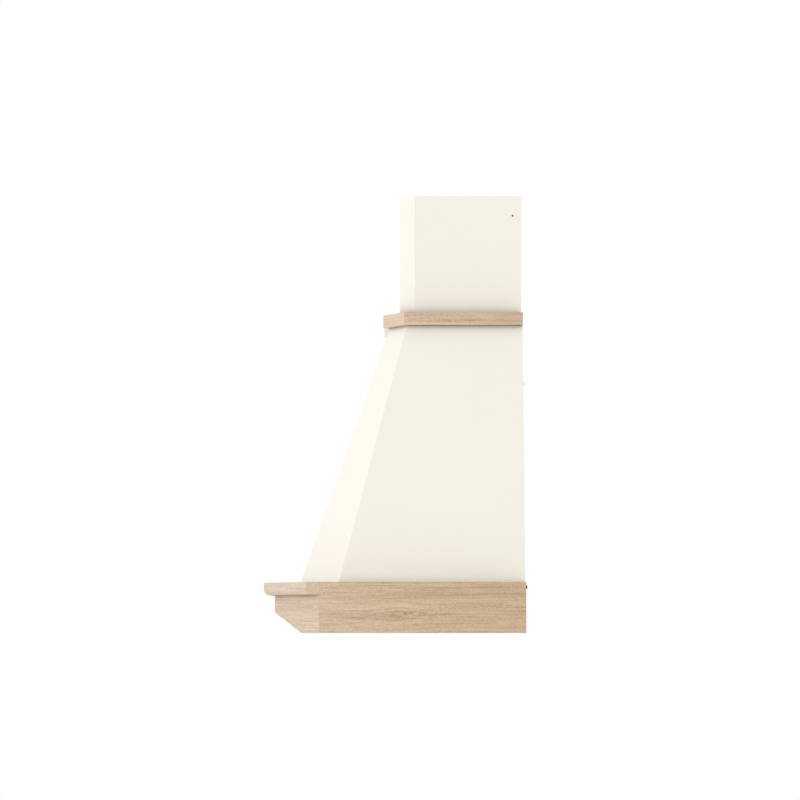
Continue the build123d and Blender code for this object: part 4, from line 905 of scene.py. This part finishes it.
# %% Screws under the board and the trim
BOARD_SCREW_RADIUS, BOARD_SCREW_HEIGHT = 0.0036, 0.0018
BOARD_SIDE_X, BOARD_SIDE_YS = 0.268, (-0.06, -0.20, -0.34)
BOARD_FRONT_Y, BOARD_FRONT_XS = -0.4685, (-0.1, 0.0, 0.1)
TRIM_SCREW_RADIUS, TRIM_SCREW_HEIGHT = 0.0028, 0.0015
TRIM_SIDE_X, TRIM_SIDE_YS = 0.256, (-0.10, -0.26)
TRIM_FRONT_Y, TRIM_FRONT_XS = -0.318, (-0.12, 0.12)
FIRST_TURN, NEXT_TURN = 0.7, 1.9
screw_zinc = brushed_metal("screw_zinc", (196, 197, 200), 0.24)


def screw_places(side_x, side_ys, front_y, front_xs):
    """The (x, y) places of a row along each side and a row along the front."""
    return [(x, y) for x in (-side_x, side_x) for y in side_ys] + [(x, front_y) for x in front_xs]


def set_screws(name, radius, height, seat_z, places):
    """Copies one head to every (x, y) place, each with its own mesh."""
    first = screw_head(name, radius, height)
    for count, (x, y) in enumerate(places):
        head = bpy.data.objects.new(f"{name}_{count + 1}", first.data.copy())
        bpy.context.scene.collection.objects.link(head)
        turn = Matrix.Rotation(FIRST_TURN + NEXT_TURN * count, 4, "Z")
        head.data.transform(Matrix.Translation((x, y, seat_z)) @ turn)
        finish_piece(head, screw_zinc, "cover")
    bpy.data.objects.remove(first)
    print(name, len(places), "faces each", len(head.data.polygons))


set_screws("board_screw", BOARD_SCREW_RADIUS, BOARD_SCREW_HEIGHT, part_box("insert_board")[0][2],
           screw_places(BOARD_SIDE_X, BOARD_SIDE_YS, BOARD_FRONT_Y, BOARD_FRONT_XS))
set_screws("trim_screw", TRIM_SCREW_RADIUS, TRIM_SCREW_HEIGHT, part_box("insert_trim")[0][2],
           screw_places(TRIM_SIDE_X, TRIM_SIDE_YS, TRIM_FRONT_Y, TRIM_FRONT_XS))

# %% [markdown]
# Two small dark screws go in through the chimney's sides, into the tabs of the wall bracket.
# They sit in holes, so they get a shank as well: the seat of the head is inset to the shank's
# thickness and extruded.

# %% Screws in the chimney's sides
DARK_SCREW_RADIUS, DARK_SCREW_HEIGHT = 0.0019, 0.0010
SHANK_RADIUS, SHANK_LENGTH, HEAD_SUNK = 0.0015, 0.016, 0.0002
HOLE_Y, HOLE_Z = -0.0215, 0.842
SEAT_FACING, SEAT_LEVEL = 0.9, -1e-5
blued_steel = fine_finish("blued_steel", (46, 57, 68), drift=0.2, peel_size=1500.0,
                          roughness=(0.42, 0.52), bump=(0.1, 0.00003))
for side, outward in (("right", 1), ("left", -1)):
    screw = screw_head(f"chimney_screw_{side}", DARK_SCREW_RADIUS, DARK_SCREW_HEIGHT)
    start_edit()
    select_in_edit(screw, "FACE", lambda face: face.normal.z > SEAT_FACING
                   and face.calc_center_median().z > SEAT_LEVEL)
    bpy.ops.mesh.inset(thickness=DARK_SCREW_RADIUS - SHANK_RADIUS)
    bpy.ops.mesh.extrude_region_move(TRANSFORM_OT_translate={"value": (0.0, 0.0, SHANK_LENGTH)})
    end_edit()
    low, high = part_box(f"chimney_side_panel_{side}")
    face_x = high[0] if outward > 0 else low[0]
    seat_x = face_x - outward * (HEAD_SUNK + DARK_SCREW_HEIGHT)
    turned = Matrix.Rotation(-outward * math.pi / 2, 4, "Y")
    screw.data.transform(Matrix.Translation((seat_x, HOLE_Y, HOLE_Z)) @ turned)
    finish_piece(screw, blued_steel, "chimney")
    ends = [vertex.co.x for vertex in screw.data.vertices]
    print(screw.name, "x from", round(min(ends), 4), "to", round(max(ends), 4))

# %% [markdown]
# ## Signs on the keys
# The keys carry plain numbers from 0 to 3 and a small sun for the light, printed in dark ink.
# A Text object gives the numbers. It becomes a mesh first and is placed after that, and it is
# turned to read from below, with its top towards the cook.

# %% Numbers
SIGN_HEIGHT, INK_THICKNESS = 0.0048, 0.00006
MERGE_DISTANCE = 1e-7
ink = fine_finish("key_ink", (58, 59, 62), drift=0.2, peel_size=1500.0,
                  roughness=(0.45, 0.55), bump=(0.1, 0.00003))


def place_sign(sign, key):
    """Turns a sign over, sets it under the middle of a key and lets it ride on the key."""
    low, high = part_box(key)
    middle = ((low[0] + high[0]) / 2, (low[1] + high[1]) / 2, low[2])
    sign.data.transform(Matrix.Translation(middle) @ Matrix.Rotation(math.pi, 4, "X"))
    finish_piece(sign, ink, key)


for key, number in (("button_off", "0"), ("button_speed_1", "1"),
                    ("button_speed_2", "2"), ("button_speed_3", "3")):
    bpy.ops.object.select_all(action="DESELECT")
    bpy.ops.object.text_add(location=(0.0, 0.0, 0.0))
    sign = bpy.context.object
    sign.name = f"sign_{number}"
    sign.data.body = number
    sign.data.size = SIGN_HEIGHT
    sign.data.extrude = INK_THICKNESS
    sign.data.resolution_u = 4
    sign.data.align_x, sign.data.align_y = "CENTER", "CENTER"
    bpy.ops.object.convert(target="MESH")
    sign = bpy.context.object
    start_edit()
    bpy.ops.mesh.select_all(action="SELECT")
    bpy.ops.mesh.remove_doubles(threshold=MERGE_DISTANCE)
    face_outwards()
    end_edit()
    place_sign(sign, key)
    print(sign.name, "on", key)

# %% [markdown]
# The sun is a disc whose middle is inset and taken out, with eight short rays. Each ray is a
# small square that is stretched, moved out and turned about the middle.

# %% Sun
SUN_RADIUS, SUN_RING = 0.0011, 0.0003
RAYS, RAY_LENGTH, RAY_WIDTH, RAY_MIDDLE = 8, 0.0007, 0.0003, 0.0019
sun = new_piece("sign_sun", bpy.ops.mesh.primitive_circle_add, vertices=20, radius=SUN_RADIUS,
                fill_type="NGON")
start_edit()
bpy.ops.mesh.inset(thickness=SUN_RING)
bpy.ops.mesh.delete(type="FACE")
for ray in range(RAYS):
    bpy.ops.mesh.select_all(action="DESELECT")
    bpy.ops.mesh.primitive_plane_add(size=1.0, location=(0.0, 0.0, 0.0))
    bpy.ops.transform.resize(value=(RAY_LENGTH, RAY_WIDTH, 1.0))
    bpy.ops.transform.translate(value=(RAY_MIDDLE, 0.0, 0.0))
    bpy.ops.transform.rotate(
        value=ray * 2 * math.pi / RAYS, orient_axis="Z", center_override=(0.0, 0.0, 0.0))
bpy.ops.mesh.select_all(action="SELECT")
bpy.ops.mesh.extrude_region_move(TRANSFORM_OT_translate={"value": (0.0, 0.0, INK_THICKNESS)})
face_outwards()
end_edit()
place_sign(sun, "button_light")
print("faces on the sun", len(sun.data.polygons))

# %% [markdown]
# ## Camera
# The photograph looks square on at the side of the cover from far away, with the eye near the
# height of the frame's lower edge, so the chimney's top edge slopes a little. The lens and the
# place were worked out from where level edges meet.

# %% Camera
EYE = Vector((6.376, -0.2535, 0.0216))
FOCAL_PIXELS, PICTURE_WIDTH = 3100.0, 800.0
RIGHT_OF_LEVEL_POINT, ABOVE_LEVEL_POINT = 2.0, 222.0
SENSOR_WIDTH = 36.0
camera_data = bpy.data.cameras.new("side_camera")
camera_data.sensor_width = SENSOR_WIDTH
camera_data.lens = SENSOR_WIDTH * FOCAL_PIXELS / PICTURE_WIDTH
camera_data.clip_end = 100.0
camera = bpy.data.objects.new("side_camera", camera_data)
bpy.context.scene.collection.objects.link(camera)
camera.location = EYE
looking = Vector((-FOCAL_PIXELS, RIGHT_OF_LEVEL_POINT, ABOVE_LEVEL_POINT)).normalized()
camera.rotation_mode = "QUATERNION"
camera.rotation_quaternion = looking.to_track_quat("-Z", "Y")
bpy.context.scene.camera = camera
print("lens", round(camera_data.lens, 2))

# %% [markdown]
# ## Floor
# The hood hangs in the air and is used from below, so the pale floor can be seen through from
# its back, and a camera under it still sees the hood.

# %% Floor
FLOOR_Z, FLOOR_RADIUS = -0.9, 6.0
floor = new_piece("studio_floor", bpy.ops.mesh.primitive_circle_add, vertices=96,
                  radius=FLOOR_RADIUS, fill_type="NGON", location=(0.0, 0.0, FLOOR_Z))
floor_paint = fine_finish("studio_floor", (244, 244, 242), drift=0.05, peel_size=300.0,
                          roughness=(0.8, 0.9), bump=(0.02, 0.0005))
tree, shader = floor_paint.node_tree, shader_of(floor_paint)
from_below = add_node(tree, "NewGeometry").outputs["Backfacing"]
tree.links.new(calculate(tree, "SUBTRACT", 1.0, from_below), shader.inputs["Alpha"])
floor.data.materials.append(floor_paint)
print("floor at", FLOOR_Z)

# %% [markdown]
# ## Light
# A studio picture on white has light from everywhere, which gives the soft shading under the
# cornice and above the shelf, and one broad lamp in front, which makes the front corners a
# little brighter than the side. The world is plain white to the camera, in reflections and
# through glass, and a little weaker as a light.

# %% World
WORLD_LIGHT = 0.965
world = bpy.data.worlds.new("studio_world")
bpy.context.scene.world = world
world.use_nodes = True
tree = world.node_tree
path = add_node(tree, "LightPath")
seen = calculate(tree, "MAXIMUM", path.outputs["Is Camera Ray"], path.outputs["Is Glossy Ray"])
seen = calculate(tree, "MAXIMUM", seen, path.outputs["Is Transmission Ray"])
fill_inputs(tree, tree.nodes["Background"], {
    "Color": (1.0, 1.0, 1.0, 1.0), "Strength": between(tree, seen, 0.0, 1.0, WORLD_LIGHT, 1.0)})
print("world", WORLD_LIGHT)

# %% Front lamp
LAMP_PLACE, LAMP_AIM = Vector((1.2, -4.0, 1.0)), Vector((0.0, -0.2, 0.4))
LAMP_SIZE, LAMP_POWER = 2.5, 21.0
lamp_data = bpy.data.lights.new("front_lamp", "AREA")
lamp_data.shape = "SQUARE"
lamp_data.size = LAMP_SIZE
lamp_data.energy = LAMP_POWER
lamp = bpy.data.objects.new("front_lamp", lamp_data)
bpy.context.scene.collection.objects.link(lamp)
lamp.location = LAMP_PLACE
lamp.rotation_mode = "QUATERNION"
lamp.rotation_quaternion = (LAMP_AIM - LAMP_PLACE).to_track_quat("-Z", "Y")
bpy.context.scene.view_settings.view_transform = "Standard"
print("front lamp", LAMP_POWER, "W")
